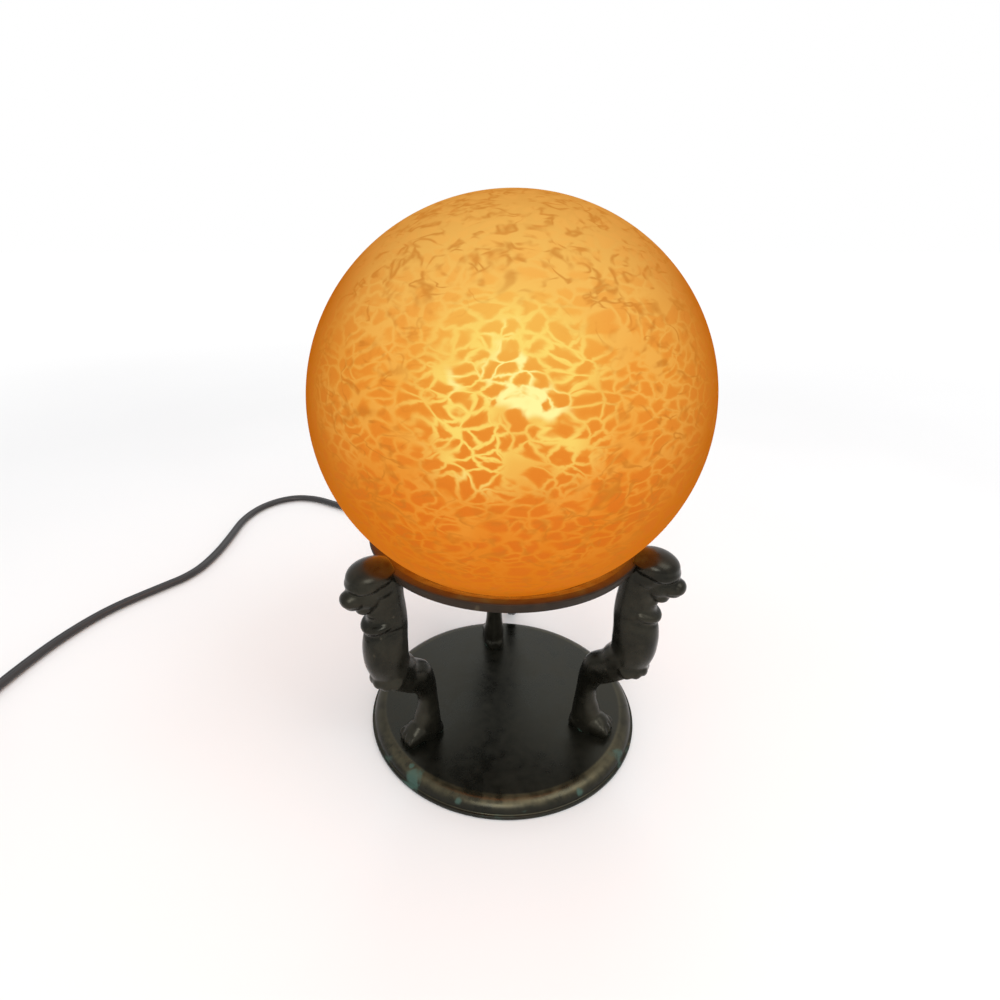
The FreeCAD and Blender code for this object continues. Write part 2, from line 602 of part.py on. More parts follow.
def make_outlet_bushing():
    """The insulating bush that lines the side outlet."""
    outer = OUTLET_RADIUS - CAP_WALL - FIT_CLEARANCE / 2
    bore = LEAD_WIDTH / 2 + FIT_CLEARANCE / 2
    start = CAP_RADIUS - CAP_WALL + FIT_CLEARANCE
    bush = outlet_cylinder(outer, start, OUTLET_REACH).fuse(
        outlet_cylinder(OUTLET_RADIUS, OUTLET_REACH, OUTLET_REACH + 1.2))
    return bush.cut(outlet_cylinder(bore, start - 1, OUTLET_REACH + 2))


def make_holder_insert():
    """The moulded insulating insert that carries the contacts, with its wiring pocket."""
    top = INSERT_Z + INSERT_HEIGHT
    rim = CAP_RADIUS - CAP_WALL - FIT_CLEARANCE - HOLDER_SHELL_WALL
    body = cylinder(INSERT_RADIUS, INSERT_Z, top).fuse(cylinder(rim, INSERT_Z, CAP_TOP_Z - 1.5))
    pocket = cylinder(INSERT_RADIUS - 5.0, INSERT_Z - 1, INSERT_Z + 3.5)
    body = body.cut(pocket)
    for side in (-1, 1):
        body = body.cut(Part.makeCylinder(TERMINAL_RADIUS, 6.0,
                                          Vector(side * (INSERT_RADIUS - 5.0), 0,
                                                 INSERT_Z + INSERT_HEIGHT / 2 + 1.3),
                                          Vector(side, 0, 0)))
    return body


def make_terminal_screws():
    """The two binding screws in the sides of the insert."""
    screws = []
    for side in (-1, 1):
        centre = Vector(side * (INSERT_RADIUS - 5.0), 0, INSERT_Z + INSERT_HEIGHT / 2 + 1.3)
        screws.append(Part.makeCylinder(TERMINAL_RADIUS, 4.8, centre, Vector(side, 0, 0)))
    return Part.makeCompound(screws)


def make_screw_shell():
    """The threaded brass shell that takes the bulb's cap, with its inturned foot."""
    bottom = INSERT_Z + INSERT_HEIGHT
    outer = SCREW_SHELL_RADIUS + SCREW_SHELL_WALL
    return revolve_outline([
        (CONTACT_RADIUS + 3.0, bottom), (outer, bottom), (outer, bottom + SCREW_SHELL_HEIGHT),
        (SCREW_SHELL_RADIUS, bottom + SCREW_SHELL_HEIGHT),
        (SCREW_SHELL_RADIUS, bottom + SCREW_SHELL_WALL),
        (CONTACT_RADIUS + 3.0, bottom + SCREW_SHELL_WALL),
    ])


def make_centre_contact():
    """The springy tongue that meets the bulb's tip."""
    return cylinder(CONTACT_RADIUS, CONTACT_Z, CONTACT_Z + CONTACT_HEIGHT)


def make_insulating_liner():
    """The fibre sleeve between the threaded shell and the outer shell."""
    outer = CAP_RADIUS - CAP_WALL - FIT_CLEARANCE - HOLDER_SHELL_WALL - FIT_CLEARANCE
    bottom = CAP_TOP_Z - 1.5
    return cylinder(outer, bottom, HOLDER_TOP_Z - 1.0).cut(
        cylinder(outer - LINER_WALL, bottom, HOLDER_TOP_Z - 1.0))


def make_holder_shell():
    """The holder's outer brass shell, with a rolled bead at its mouth."""
    outer = CAP_RADIUS - CAP_WALL - FIT_CLEARANCE
    inner = outer - HOLDER_SHELL_WALL
    bottom = CAP_TOP_Z - 4.5
    return revolve_outline([
        (inner, bottom), (outer, bottom), (outer, HOLDER_TOP_Z - 2.0),
        (outer + 0.8, HOLDER_TOP_Z - 1.0, "arc"), (outer, HOLDER_TOP_Z), (inner, HOLDER_TOP_Z),
    ])


# ---- bulb -----------------------------------------------------------------------------------
def bulb_outline(inset):
    """The bulb's glass from neck to crown as (radius, height) points, drawn in by inset."""
    crown_z = BULB_TIP_Z + BULB_LENGTH
    centre_z = crown_z - BULB_RADIUS
    neck_z = BULB_TIP_Z + BULB_CAP_HEIGHT - 2.0
    radius = BULB_RADIUS - inset
    lean = math.radians(-38)
    return [
        (BULB_NECK_RADIUS - inset, neck_z), (BULB_NECK_RADIUS - inset, neck_z + 8.0),
        (BULB_NECK_RADIUS + 3.0 - inset * 0.95, neck_z + 17.5, "arc"),
        (radius * math.cos(lean), centre_z + radius * math.sin(lean)),
        (radius * math.cos(0.45), centre_z + radius * math.sin(0.45), "arc"),
        (0, centre_z + radius),
    ]


def make_bulb_glass():
    """The pear-shaped envelope, open at the neck."""
    outer = bulb_outline(0)
    inner = bulb_outline(BULB_GLASS)
    solid = revolve_outline(outer + [(0, outer[0][1])])
    hollow = revolve_outline(inner + [(0, inner[0][1])])
    return solid.cut(hollow)


def make_bulb_cap():
    """The bulb's threaded metal cap."""
    bottom = BULB_TIP_Z + 3.0
    top = BULB_TIP_Z + 3.0 + BULB_CAP_HEIGHT
    inner = BULB_CAP_RADIUS - BULB_CAP_WALL
    return revolve_outline([
        (BULB_CONTACT_RADIUS + 3.6, bottom), (BULB_CAP_RADIUS, bottom + 2.4),
        (BULB_CAP_RADIUS, top), (inner, top), (inner, bottom + 2.8),
        (BULB_CONTACT_RADIUS + 3.6, bottom + 0.6),
    ])


def make_bulb_insulator():
    """The dark glass bead between the bulb's cap and its tip."""
    return revolve_outline([
        (BULB_CONTACT_RADIUS, BULB_TIP_Z + 1.6), (BULB_CONTACT_RADIUS + 3.6, BULB_TIP_Z + 3.0),
        (BULB_CONTACT_RADIUS + 3.6, BULB_TIP_Z + 4.6), (0, BULB_TIP_Z + 4.6),
        (0, BULB_TIP_Z + 1.6),
    ])


def make_bulb_contact():
    """The solder tip under the bulb."""
    return cylinder(BULB_CONTACT_RADIUS, BULB_TIP_Z, BULB_TIP_Z + 1.6)


def make_bulb_stem():
    """The glass stem with its two support wires and the filament."""
    base_z = BULB_TIP_Z + 4.6
    stem = revolve_outline([
        (0, base_z), (5.2, base_z), (5.2, base_z + 8.0), (2.2, base_z + 20.0),
        (2.2, base_z + 34.0), (0, base_z + 34.0),
    ])
    wire_radius = 0.4
    spread = 8.0
    coil_z = base_z + 46.0
    pieces = [stem]
    for side in (-1, 1):
        foot = Vector(side * 1.2, 0, base_z + 33.0)
        tip = Vector(side * spread, 0, coil_z)
        pieces.append(Part.makeCylinder(wire_radius, (tip - foot).Length, foot, tip - foot))
        pieces.append(Part.makeSphere(wire_radius * 1.6, tip))
    pieces.append(Part.makeCylinder(wire_radius * 1.5, 2 * spread, Vector(-spread, 0, coil_z),
                                    Vector(1, 0, 0)))
    return fuse_all(pieces)


# ---- globe ----------------------------------------------------------------------------------
def globe_points(inset):
    """The globe's wall from its mouth to its crown in arcs, the last one centred on its axis."""
    wide = GLOBE_RADIUS - inset
    tall = GLOBE_HALF_HEIGHT - inset
    mouth = math.asin((globe_mouth_z() - GLOBE_CENTRE_Z) / tall)
    points = []
    for step in range(2 * GLOBE_ARCS - 1):
        angle = mouth + (math.pi / 2 - mouth) * step / (2 * GLOBE_ARCS)
        place = (wide * math.cos(angle), GLOBE_CENTRE_Z + tall * math.sin(angle))
        points.append(place + ("arc",) if step % 2 else place)
    radius, height = points[-1]
    crown = GLOBE_CENTRE_Z + tall
    curvature = (radius ** 2 + (crown - height) ** 2) / (2 * (crown - height))
    turn = math.asin(radius / curvature) / 2
    points.append((curvature * math.sin(turn), crown - curvature * (1 - math.cos(turn)), "arc"))
    return points + [(0, crown)]


def globe_mouth_z():
    """The height of the ground edge round the globe's mouth."""
    inner_radius = GLOBE_RADIUS - GLASS_WALL
    inner_half = GLOBE_HALF_HEIGHT - GLASS_WALL
    return GLOBE_CENTRE_Z - inner_half * math.sqrt(1 - (GLOBE_MOUTH_RADIUS / inner_radius) ** 2)


def make_glass_globe():
    """The blown globe: a thin flattened ball, cut off level at its mouth."""
    outer = globe_points(0)
    inner = globe_points(GLASS_WALL)
    outside = revolve_outline(outer + [(0, globe_mouth_z())])
    inside = revolve_outline(inner + [(0, globe_mouth_z())])
    return outside.cut(inside)


# ---- lead -----------------------------------------------------------------------------------
def grommet_place_world():
    """The grommet's centre on the pan's inner wall and its outward way, in the lamp's frame."""
    place, outward = grommet_frame()
    spin = Rotation(Vector(0, 0, 1), LEAD_AZIMUTH)
    return spin.multVec(place), spin.multVec(outward)


def make_lead_grommet():
    """The rubber grommet that carries the lead through the pan's wall."""
    place, outward = grommet_frame()
    bore = LEAD_WIDTH / 2 + FIT_CLEARANCE / 2
    back = GROMMET_FLANGE + GROMMET_SEAT_GAP
    front = PAN_THICKNESS + GROMMET_FLANGE
    body = Part.makeCylinder(GROMMET_NECK_RADIUS, back + front, place - outward * back, outward)
    for start in (-back, PAN_THICKNESS):
        body = body.fuse(Part.makeCylinder(GROMMET_FLANGE_RADIUS, GROMMET_FLANGE,
                                           place + outward * start, outward))
    body = body.cut(Part.makeCylinder(bore, 20, place - outward * 10, outward))
    return turn_about_z(body, LEAD_AZIMUTH)


def make_inner_lead():
    """The lead inside the pan, from the holder's outlet to the grommet's outer face."""
    place, outward = grommet_frame()
    end = place + outward * (PAN_THICKNESS + GROMMET_FLANGE)
    inside = place - outward * 9.0
    route = [(CAP_RADIUS - 2.5, 0, OUTLET_Z), (OUTLET_REACH + 5.0, 0, OUTLET_Z),
             (inside.x, 0, inside.z), (end.x, 0, end.z)]
    wire, _ = rounded_route(route)
    return turn_about_z(tube_along(wire, LEAD_WIDTH / 2), LEAD_AZIMUTH)


def lead_route_points():
    """The free lead's corner points, from the grommet's face to the switch."""
    place, outward = grommet_place_world()
    exit_point = place + outward * (PAN_THICKNESS + GROMMET_FLANGE)
    straight = exit_point + outward * 10.0
    entry = switch_point(-SWITCH_LENGTH / 2, 0, SWITCH_AXIS_Z)
    before = switch_point(-SWITCH_LENGTH / 2 - 14.0, 0, SWITCH_AXIS_Z - 1.6)
    middle = [(x, y, z + LEAD_FLOOR_Z - 2.8) for x, y, z in LEAD_ROUTE]
    return [tuple(exit_point), tuple(straight)] + middle + [tuple(before), tuple(entry)]


def make_lead_run():
    """The free lead from the grommet, over the base's rear edge and along the table."""
    wire, radii = rounded_route(lead_route_points())
    tube = tube_along(wire, LEAD_WIDTH / 2)
    expected = math.pi * (LEAD_WIDTH / 2) ** 2 * wire.Length
    print("lead run", round(wire.Length, 1), "mm; volume ratio",
          round(tube.Volume / expected, 4))
    print("lead radii", [round(radius, 1) for radius in radii])
    return tube


# ---- switch ---------------------------------------------------------------------------------
def switch_point(along, aside, height):
    """A point of the switch's own frame in the lamp's frame; along is the lead's way."""
    heading = math.radians(SWITCH_HEADING)
    return Vector(SWITCH_CENTRE[0] + along * math.cos(heading) - aside * math.sin(heading),
                  SWITCH_CENTRE[1] + along * math.sin(heading) + aside * math.cos(heading),
                  height)


def place_switch(shape):
    """Carry a shape from the switch's own frame to the lamp's frame."""
    placed = shape.copy()
    placed.rotate(Vector(0, 0, 0), Vector(0, 0, 1), SWITCH_HEADING)
    placed.translate(Vector(SWITCH_CENTRE[0], SWITCH_CENTRE[1], 0))
    return placed


def switch_block(inset, bottom, top):
    """The switch's rounded outline as a slab between two heights."""
    length = SWITCH_LENGTH - 2 * inset
    width = SWITCH_WIDTH - 2 * inset
    block = Part.makeBox(length, width, top - bottom, Vector(-length / 2, -width / 2, bottom))
    uprights = [edge for edge in block.Edges
                if abs(edge.tangentAt(edge.FirstParameter).z) > 0.9]
    return block.makeFillet(SWITCH_CORNER - inset, uprights)


def wheel_pocket(bottom, top):
    """The space that the wheel turns in."""
    return cylinder(WHEEL_RADIUS + WHEEL_CLEARANCE, bottom, top, (0, WHEEL_OFFSET))


def make_switch_half(lower):
    """One half of the switch's housing, with its axle seat and wiring channel."""
    middle = SWITCH_AXIS_Z
    bottom = 0.0 if lower else middle
    top = middle if lower else SWITCH_HEIGHT
    half = switch_block(0, bottom, top)
    rim = [edge for edge in half.Edges
           if edge.BoundBox.ZLength < 1e-6
           and abs(edge.BoundBox.ZMin - (bottom if lower else top)) < 1e-6]
    half = half.makeFillet(1.6, rim)
    pocket = WHEEL_THICKNESS / 2 + WHEEL_CLEARANCE
    half = half.cut(wheel_pocket(middle - pocket, middle + pocket))
    channel = Part.makeCylinder(LEAD_WIDTH / 2 + FIT_CLEARANCE, 9.0,
                                Vector(-SWITCH_LENGTH / 2, 0, middle), Vector(1, 0, 0))
    other = Part.makeCylinder(LEAD_WIDTH / 2 + FIT_CLEARANCE, 9.0,
                              Vector(SWITCH_LENGTH / 2 - 9.0, 0, middle), Vector(1, 0, 0))
    half = half.cut(channel).cut(other)
    half = half.cut(cylinder(AXLE_RADIUS, middle - pocket - 1.8, middle + pocket + 1.8,
                             (0, WHEEL_OFFSET)))
    screw_place = (SWITCH_LENGTH / 2 - 15.0, -SWITCH_WIDTH / 2 + 5.0)
    half = half.cut(cylinder(SWITCH_SCREW_RADIUS + SCREW_CLEARANCE, 2.0, SWITCH_HEIGHT,
                             screw_place))
    half = half.cut(cylinder(SWITCH_SCREW_HEAD_RADIUS + SCREW_CLEARANCE, SWITCH_HEIGHT - 1.6,
                             SWITCH_HEIGHT, screw_place))
    return place_switch(half)


def make_switch_wheel():
    """The ridged thumb wheel."""
    middle = SWITCH_AXIS_Z
    low = middle - WHEEL_THICKNESS / 2
    high = middle + WHEEL_THICKNESS / 2
    wheel = cylinder(WHEEL_RADIUS, low, high)
    groove = Part.makeCylinder(0.55, WHEEL_THICKNESS, Vector(WHEEL_RADIUS + 0.1, 0, low))
    for index in range(WHEEL_RIDGES):
        wheel = wheel.cut(turn_about_z(groove, index * 360.0 / WHEEL_RIDGES))
    wheel = wheel.cut(cylinder(AXLE_RADIUS + AXLE_CLEARANCE, low, high))
    wheel.translate(Vector(0, WHEEL_OFFSET, 0))
    return place_switch(wheel)


def make_switch_axle():
    """The steel pin that the thumb wheel turns on."""
    reach = WHEEL_THICKNESS / 2 + WHEEL_CLEARANCE + 1.8
    return place_switch(cylinder(AXLE_RADIUS, SWITCH_AXIS_Z - reach, SWITCH_AXIS_Z + reach,
                                 (0, WHEEL_OFFSET)))


def make_switch_screw():
    """The screw that holds the two halves of the housing together."""
    place = (SWITCH_LENGTH / 2 - 15.0, -SWITCH_WIDTH / 2 + 5.0)
    head = cylinder(SWITCH_SCREW_HEAD_RADIUS, SWITCH_HEIGHT - 1.6, SWITCH_HEIGHT - 0.3, place)
    slot = Part.makeBox(2 * SWITCH_SCREW_HEAD_RADIUS, 0.6, 0.6,
                        Vector(place[0] - SWITCH_SCREW_HEAD_RADIUS, place[1] - 0.3,
                               SWITCH_HEIGHT - 0.9))
    shank = cylinder(SWITCH_SCREW_RADIUS, 2.2, SWITCH_HEIGHT - 1.6, place)
    return place_switch(head.cut(slot).fuse(shank))


# ---- coil -----------------------------------------------------------------------------------
def coil_frame():
    """The coil's centre: the lead meets the first turn at its outer radius, on a tangent."""
    outer = COIL_INNER_RADIUS + COIL_PITCH / 2 * COIL_HALF_TURNS
    start = switch_point(SWITCH_LENGTH / 2 + COIL_APPROACH, 0, 0)
    centre = switch_point(SWITCH_LENGTH / 2 + COIL_APPROACH, -outer, 0)
    return start, centre, outer


def half_turn_edge(centre, radius_in, radius_out, angle, low, high):
    """Half a turn, clockwise from angle, easing from one radius and height to the next."""
    start = Vector(centre.x + radius_in * math.cos(angle), centre.y + radius_in * math.sin(angle),
                   low)
    end = Vector(centre.x - radius_out * math.cos(angle), centre.y - radius_out * math.sin(angle),
                 high)
    middle_radius = (radius_in + radius_out) / 2
    quarter = angle - math.pi / 2
    shift = (radius_in - radius_out) / 2
    hub = Vector(centre.x + shift * math.cos(angle), centre.y + shift * math.sin(angle), 0)
    middle = Vector(hub.x + middle_radius * math.cos(quarter),
                    hub.y + middle_radius * math.sin(quarter), (low + high) / 2)
    return start, middle, end


def coil_edges():
    """The coil's centre line: in along the lower layer, up, and out along the upper one."""
    start, centre, outer = coil_frame()
    angle = math.atan2(start.y - centre.y, start.x - centre.x)
    low, high = COIL_LAYER_Z
    radii = [outer - COIL_PITCH / 2 * step for step in range(COIL_HALF_TURNS + 1)]
    stops = [(radius, low) for radius in radii] + [(radius, high) for radius in reversed(radii)]
    edges = []
    for (radius_in, z_in), (radius_out, z_out) in zip(stops, stops[1:]):
        first, middle, last = half_turn_edge(centre, radius_in, radius_out, angle, z_in, z_out)
        edges.append(Part.Arc(first, middle, last).toShape())
        angle -= math.pi
    return edges, angle, centre, outer


def coil_gap(wire):
    """The least distance between stretches of the coil that aren't neighbours, less a width."""
    count = 900
    points = wire.discretize(count)
    step = wire.Length / (count - 1)
    skip = int(3.0 * LEAD_WIDTH / step) + 1
    least = min((points[j] - points[i]).Length
                for i in range(0, count, 3) for j in range(i + skip, count, 3))
    return least - LEAD_WIDTH


def coil_ends():
    """The straight tube ends before and after the turns."""
    start, _, _ = coil_frame()
    edges, angle, centre, outer = coil_edges()
    last = edges[-1].valueAt(edges[-1].LastParameter)
    onward = edges[-1].tangentAt(edges[-1].LastParameter)
    return start, last, Vector(onward.x, onward.y, 0).normalize()


def make_lead_link():
    """The short lead between the switch and the coil."""
    start, _, _ = coil_frame()
    start.z = LEAD_FLOOR_Z
    back = switch_point(SWITCH_LENGTH / 2, 0, SWITCH_AXIS_Z)
    lift = switch_point(SWITCH_LENGTH / 2 + 9.0, 0, SWITCH_AXIS_Z - 0.6)
    down = switch_point(SWITCH_LENGTH / 2 + COIL_APPROACH - 9.0, 0, LEAD_FLOOR_Z)
    wire, radii = rounded_route([tuple(back), tuple(lift), tuple(down), tuple(start)])
    print("link", round(wire.Length, 1), "mm; radii", [round(radius, 1) for radius in radii])
    return tube_along(wire, LEAD_WIDTH / 2)


def make_lead_coil():
    """The put-away length wound as two layers of turns, with its straight tail to the plug."""
    edges, _, _, _ = coil_edges()
    _, last, onward = coil_ends()
    tail = Part.LineSegment(last, last + onward * TAIL_LENGTH).toShape()
    wire = Part.Wire(edges + [tail])
    tube = tube_along(wire, LEAD_WIDTH / 2)
    expected = math.pi * (LEAD_WIDTH / 2) ** 2 * wire.Length
    print("coil", round(wire.Length, 1), "mm; volume ratio", round(tube.Volume / expected, 4),
          "; least gap", round(coil_gap(Part.Wire(edges)), 2), "mm")
    return tube


# ---- plug -----------------------------------------------------------------------------------
def plug_frame():
    """The plug's rear centre and the way that its blades point."""
    _, last, onward = coil_ends()
    return last + onward * TAIL_LENGTH, onward


def place_plug(shape):
    """Carry a shape from the plug's own frame, +X towards the blades, to the lamp's frame."""
    rear, onward = plug_frame()
    placed = shape.copy()
    placed.rotate(Vector(0, 0, 0), Vector(0, 0, 1), math.degrees(math.atan2(onward.y, onward.x)))
    placed.translate(Vector(rear.x, rear.y, 0))
    return placed


def make_plug_body():
    """The plug's moulded body, flared from the lead to its flat front."""
    height = 2 * COIL_LAYER_Z[1]
    middle = COIL_LAYER_Z[1]
    stations = [(0.0, PLUG_NECK_WIDTH, 0.62), (0.28, PLUG_NECK_WIDTH + 2.0, 0.7),
                (0.62, PLUG_WIDTH - 1.5, 0.93), (0.84, PLUG_WIDTH, 0.97), (1.0, PLUG_WIDTH, 0.96)]
    wires = []
    for share, width, tallness in stations:
        stretch = Matrix()
        stretch.scale(1.0, width / 2, height / 2 * tallness)
        ring = Part.Wire(Part.makeCircle(1.0, Vector(0, 0, 0), Vector(1, 0, 0)))
        ring = ring.transformGeometry(stretch)
        ring.translate(Vector(share * PLUG_LENGTH, 0, middle))
        wires.append(Part.Wire(ring.Edges))
    body = Part.makeLoft(wires, True, False)
    for side in (-1, 1):
        body = body.cut(blade_box(side))
    return place_plug(body)


def blade_box(side):
    """One flat blade in the plug's own frame, from its root inside the body to its tip."""
    return Part.makeBox(BLADE_ROOT + BLADE_LENGTH, BLADE_THICKNESS, BLADE_WIDTH,
                        Vector(PLUG_LENGTH - BLADE_ROOT,
                               side * BLADE_SPACING / 2 - BLADE_THICKNESS / 2,
                               COIL_LAYER_Z[1] - BLADE_WIDTH / 2))


def make_plug_blades():
    """The plug's two parallel blades, each with a hole near its tip."""
    blades = []
    for side in (-1, 1):
        hole = Part.makeCylinder(1.6, BLADE_SPACING + 10,
                                 Vector(PLUG_LENGTH + BLADE_LENGTH - 4.0,
                                        -BLADE_SPACING / 2 - 5, COIL_LAYER_Z[1]), Vector(0, 1, 0))
        blades.append(blade_box(side).cut(hole))
    return place_plug(Part.makeCompound(blades))


def main():
    """Build every piece and write one file for each."""
    os.makedirs("parts", exist_ok=True)
    leg = make_leg()
    pieces = {
        "base_disc": make_base_disc(),
        "base_felt": make_base_felt(),
        "foot_screws": make_foot_screws(),
        "gallery_ring": make_gallery_ring(),
        "gallery_pan": make_gallery_pan(),
        "gallery_screws": make_gallery_screws(),
        "holder_nipple": make_nipple(),
        "nipple_washer": make_washer(),
        "nipple_locknut": make_locknut(),
        "holder_cap": make_holder_cap(),
        "outlet_bushing": make_outlet_bushing(),
        "holder_insert": make_holder_insert(),
        "terminal_screws": make_terminal_screws(),
        "screw_shell": make_screw_shell(),
        "centre_contact": make_centre_contact(),
        "insulating_liner": make_insulating_liner(),
        "holder_shell": make_holder_shell(),
        "bulb_glass": make_bulb_glass(),
        "bulb_cap": make_bulb_cap(),
        "bulb_insulator": make_bulb_insulator(),
        "bulb_contact": make_bulb_contact(),
        "bulb_stem": make_bulb_stem(),
        "glass_globe": make_glass_globe(),
        "lead_grommet": make_lead_grommet(),
        "inner_lead": make_inner_lead(),
        "lead_run": make_lead_run(),
        "switch_lower": make_switch_half(True),
        "switch_upper": make_switch_half(False),
        "switch_wheel": make_switch_wheel(),
        "switch_axle": make_switch_axle(),
        "switch_screw": make_switch_screw(),
        "lead_link": make_lead_link(),
        "lead_coil": make_lead_coil(),
        "plug_body": make_plug_body(),
        "plug_blades": make_plug_blades(),
    }
    for name, azimuth in LEG_AZIMUTHS.items():
        pieces[name] = turn_about_z(leg, azimuth)
    for name, shape in pieces.items():
        shape.exportStep("parts/" + name + ".step")
        print(name, shape.isValid(), len(shape.Solids), round(shape.Volume, 1))


main()
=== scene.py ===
import json
import logging
import math
from dataclasses import dataclass
from enum import Enum
from typing import Sequence

import bpy
import numpy as np
from mathutils import Matrix, Vector


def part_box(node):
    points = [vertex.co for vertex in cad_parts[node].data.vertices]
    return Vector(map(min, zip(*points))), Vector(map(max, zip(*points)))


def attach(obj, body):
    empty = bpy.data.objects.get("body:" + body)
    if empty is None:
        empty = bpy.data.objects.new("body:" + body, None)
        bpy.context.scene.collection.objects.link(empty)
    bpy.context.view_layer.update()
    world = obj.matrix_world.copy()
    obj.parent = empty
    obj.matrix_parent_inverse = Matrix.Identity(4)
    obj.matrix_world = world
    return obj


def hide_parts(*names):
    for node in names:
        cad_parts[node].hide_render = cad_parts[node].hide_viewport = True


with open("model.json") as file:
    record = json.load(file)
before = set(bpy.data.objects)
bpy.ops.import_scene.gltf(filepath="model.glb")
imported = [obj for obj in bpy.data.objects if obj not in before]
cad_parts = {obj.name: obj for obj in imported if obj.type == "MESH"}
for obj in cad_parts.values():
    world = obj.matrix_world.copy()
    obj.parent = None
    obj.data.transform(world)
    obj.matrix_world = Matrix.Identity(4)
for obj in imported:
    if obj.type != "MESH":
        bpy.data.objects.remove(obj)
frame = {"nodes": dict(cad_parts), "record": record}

LOG = logging.getLogger("lamp")
MM = 0.001
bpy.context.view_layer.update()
LAMP = "lamp"
GLOBE_CENTRE_Z = 155.814  # millimetres
GLOBE_HALF_HEIGHT = 74.4  # millimetres
ROUND_STEPS = 256  # round both globe and ring, so that their edges run side by side
FLOAT = "NodeSocketFloat"
VECTOR = "NodeSocketVector"

Point = Sequence[float]
Colour = tuple[float, float, float, float]
Socket = bpy.types.NodeSocket
Tree = bpy.types.NodeTree


# ---- meshes ---------------------------------------------------------------------------------
def new_object(name: str, mesh: bpy.types.Mesh, smooth: bool = True) -> bpy.types.Object:
    """Link a mesh to the scene as one object.

    Args:
        name: the piece's name.
        mesh: its mesh, in metres and in the lamp's frame.
        smooth: whether its faces are shaded smooth.

    Returns:
        The new object.
    """
    if smooth:
        mesh.polygons.foreach_set("use_smooth", [True] * len(mesh.polygons))
    piece = bpy.data.objects.new(name, mesh)
    bpy.context.scene.collection.objects.link(piece)
    return piece


def new_mesh(name: str, vertices: np.ndarray, faces: Sequence[Sequence[int]]) -> bpy.types.Mesh:
    """Make a mesh from vertices in millimetres and faces."""
    mesh = bpy.data.meshes.new(name)
    mesh.from_pydata((np.asarray(vertices, float) * MM).tolist(), [], [list(f) for f in faces])
    mesh.update()
    return mesh


def arc(centre: Point, radius: float, start: float, end: float, steps: int) -> list[tuple]:
    """Points of a round stretch of an outline.

    Args:
        centre: the arc's centre as (radius, height) in millimetres.
        radius: the arc's radius in millimetres.
        start: the first angle in degrees.
        end: the last angle in degrees.
        steps: how many steps lead from the first point to the last.

    Returns:
        The points, ends included.
    """
    angles = np.radians(np.linspace(start, end, steps + 1))
    return [(centre[0] + radius * math.cos(a), centre[1] + radius * math.sin(a)) for a in angles]


def revolve(name: str, outline: Sequence[Point], segments: int) -> bpy.types.Mesh:
    """Turn a closed outline of (radius, height) points about the lamp's axis.

    Args:
        name: the mesh's name.
        outline: the points in millimetres; a radius of 0 makes a pole.
        segments: how many steps make a full turn.

    Returns:
        The mesh.
    """
    vertices: list[tuple] = []
    rows: list[list[int]] = []
    for radius, height in outline:
        if radius < 1e-6:
            rows.append([len(vertices)] * segments)
            vertices.append((0.0, 0.0, height))
            continue
        first = len(vertices)
        for step in range(segments):
            turn = 2 * math.pi * step / segments
            vertices.append((radius * math.cos(turn), radius * math.sin(turn), height))
        rows.append(list(range(first, first + segments)))
    faces = []
    for low, high in zip(rows, rows[1:] + rows[:1]):
        for step in range(segments):
            after = (step + 1) % segments
            corners = [low[step], low[after], high[after], high[step]]
            face = list(dict.fromkeys(corners))
            if len(face) > 2:
                faces.append(face)
    return new_mesh(name, np.array(vertices), faces)


def tube_faces(rows: int, around: int) -> list[list[int]]:
    """Faces of a capped tube whose vertices stand in rows, each with as many around."""
    faces = [list(range(around))[::-1], list(range((rows - 1) * around, rows * around))]
    for row in range(rows - 1):
        low = row * around
        for step in range(around):
            after = (step + 1) % around
            faces.append([low + step, low + after, low + around + after, low + around + step])
    return faces


def ellipsoid_parts(centre: Point, radii: Point, lean: float, spin: float,
                    around: int = 28, rows: int = 16) -> tuple[np.ndarray, list]:
    """One ellipsoid of a sculpted form.

    Args:
        centre: its centre in millimetres.
        radii: its half sizes in millimetres.
        lean: degrees that it is tipped about Y, outer end down.
        spin: degrees that it is then turned about Z.
        around: steps round it.
        rows: steps from pole to pole.

    Returns:
        Vertices and faces.
    """
    vertices = [(0.0, 0.0, 1.0)]
    for row in range(1, rows):
        polar = math.pi * row / rows
        for step in range(around):
            turn = 2 * math.pi * step / around
            vertices.append((math.sin(polar) * math.cos(turn), math.sin(polar) * math.sin(turn),
                             math.cos(polar)))
    vertices.append((0.0, 0.0, -1.0))
    faces = []
    for step in range(around):
        after = (step + 1) % around
        faces.append([0, 1 + step, 1 + after])
        for row in range(rows - 2):
            top = 1 + row * around
            faces.append([top + step, top + around + step, top + around + after, top + after])
        last = 1 + (rows - 2) * around
        faces.append([last + step, len(vertices) - 1, last + after])
    turned = (Matrix.Rotation(math.radians(spin), 3, "Z")
              @ Matrix.Rotation(math.radians(lean), 3, "Y"))
    points = np.array(vertices) * np.array(radii)
    return points @ np.array(turned).T + np.array(centre), faces


def eased(sections: Sequence[Point], steps: int) -> np.ndarray:
    """Rows interpolated smoothly between drawn rows, by a Catmull-Rom curve."""
    drawn = np.array(sections, float)
    padded = np.vstack([drawn[:1], drawn, drawn[-1:]])
    rows = []
    for index in range(len(drawn) - 1):
        p, q, r, s = padded[index:index + 4]
        for t in np.linspace(0, 1, steps, endpoint=False):
            rows.append(0.5 * (2 * q + (r - p) * t + (2 * p - 5 * q + 4 * r - s) * t ** 2
                               + (3 * q - p - 3 * r + s) * t ** 3))
    rows.append(drawn[-1])
    return np.array(rows)


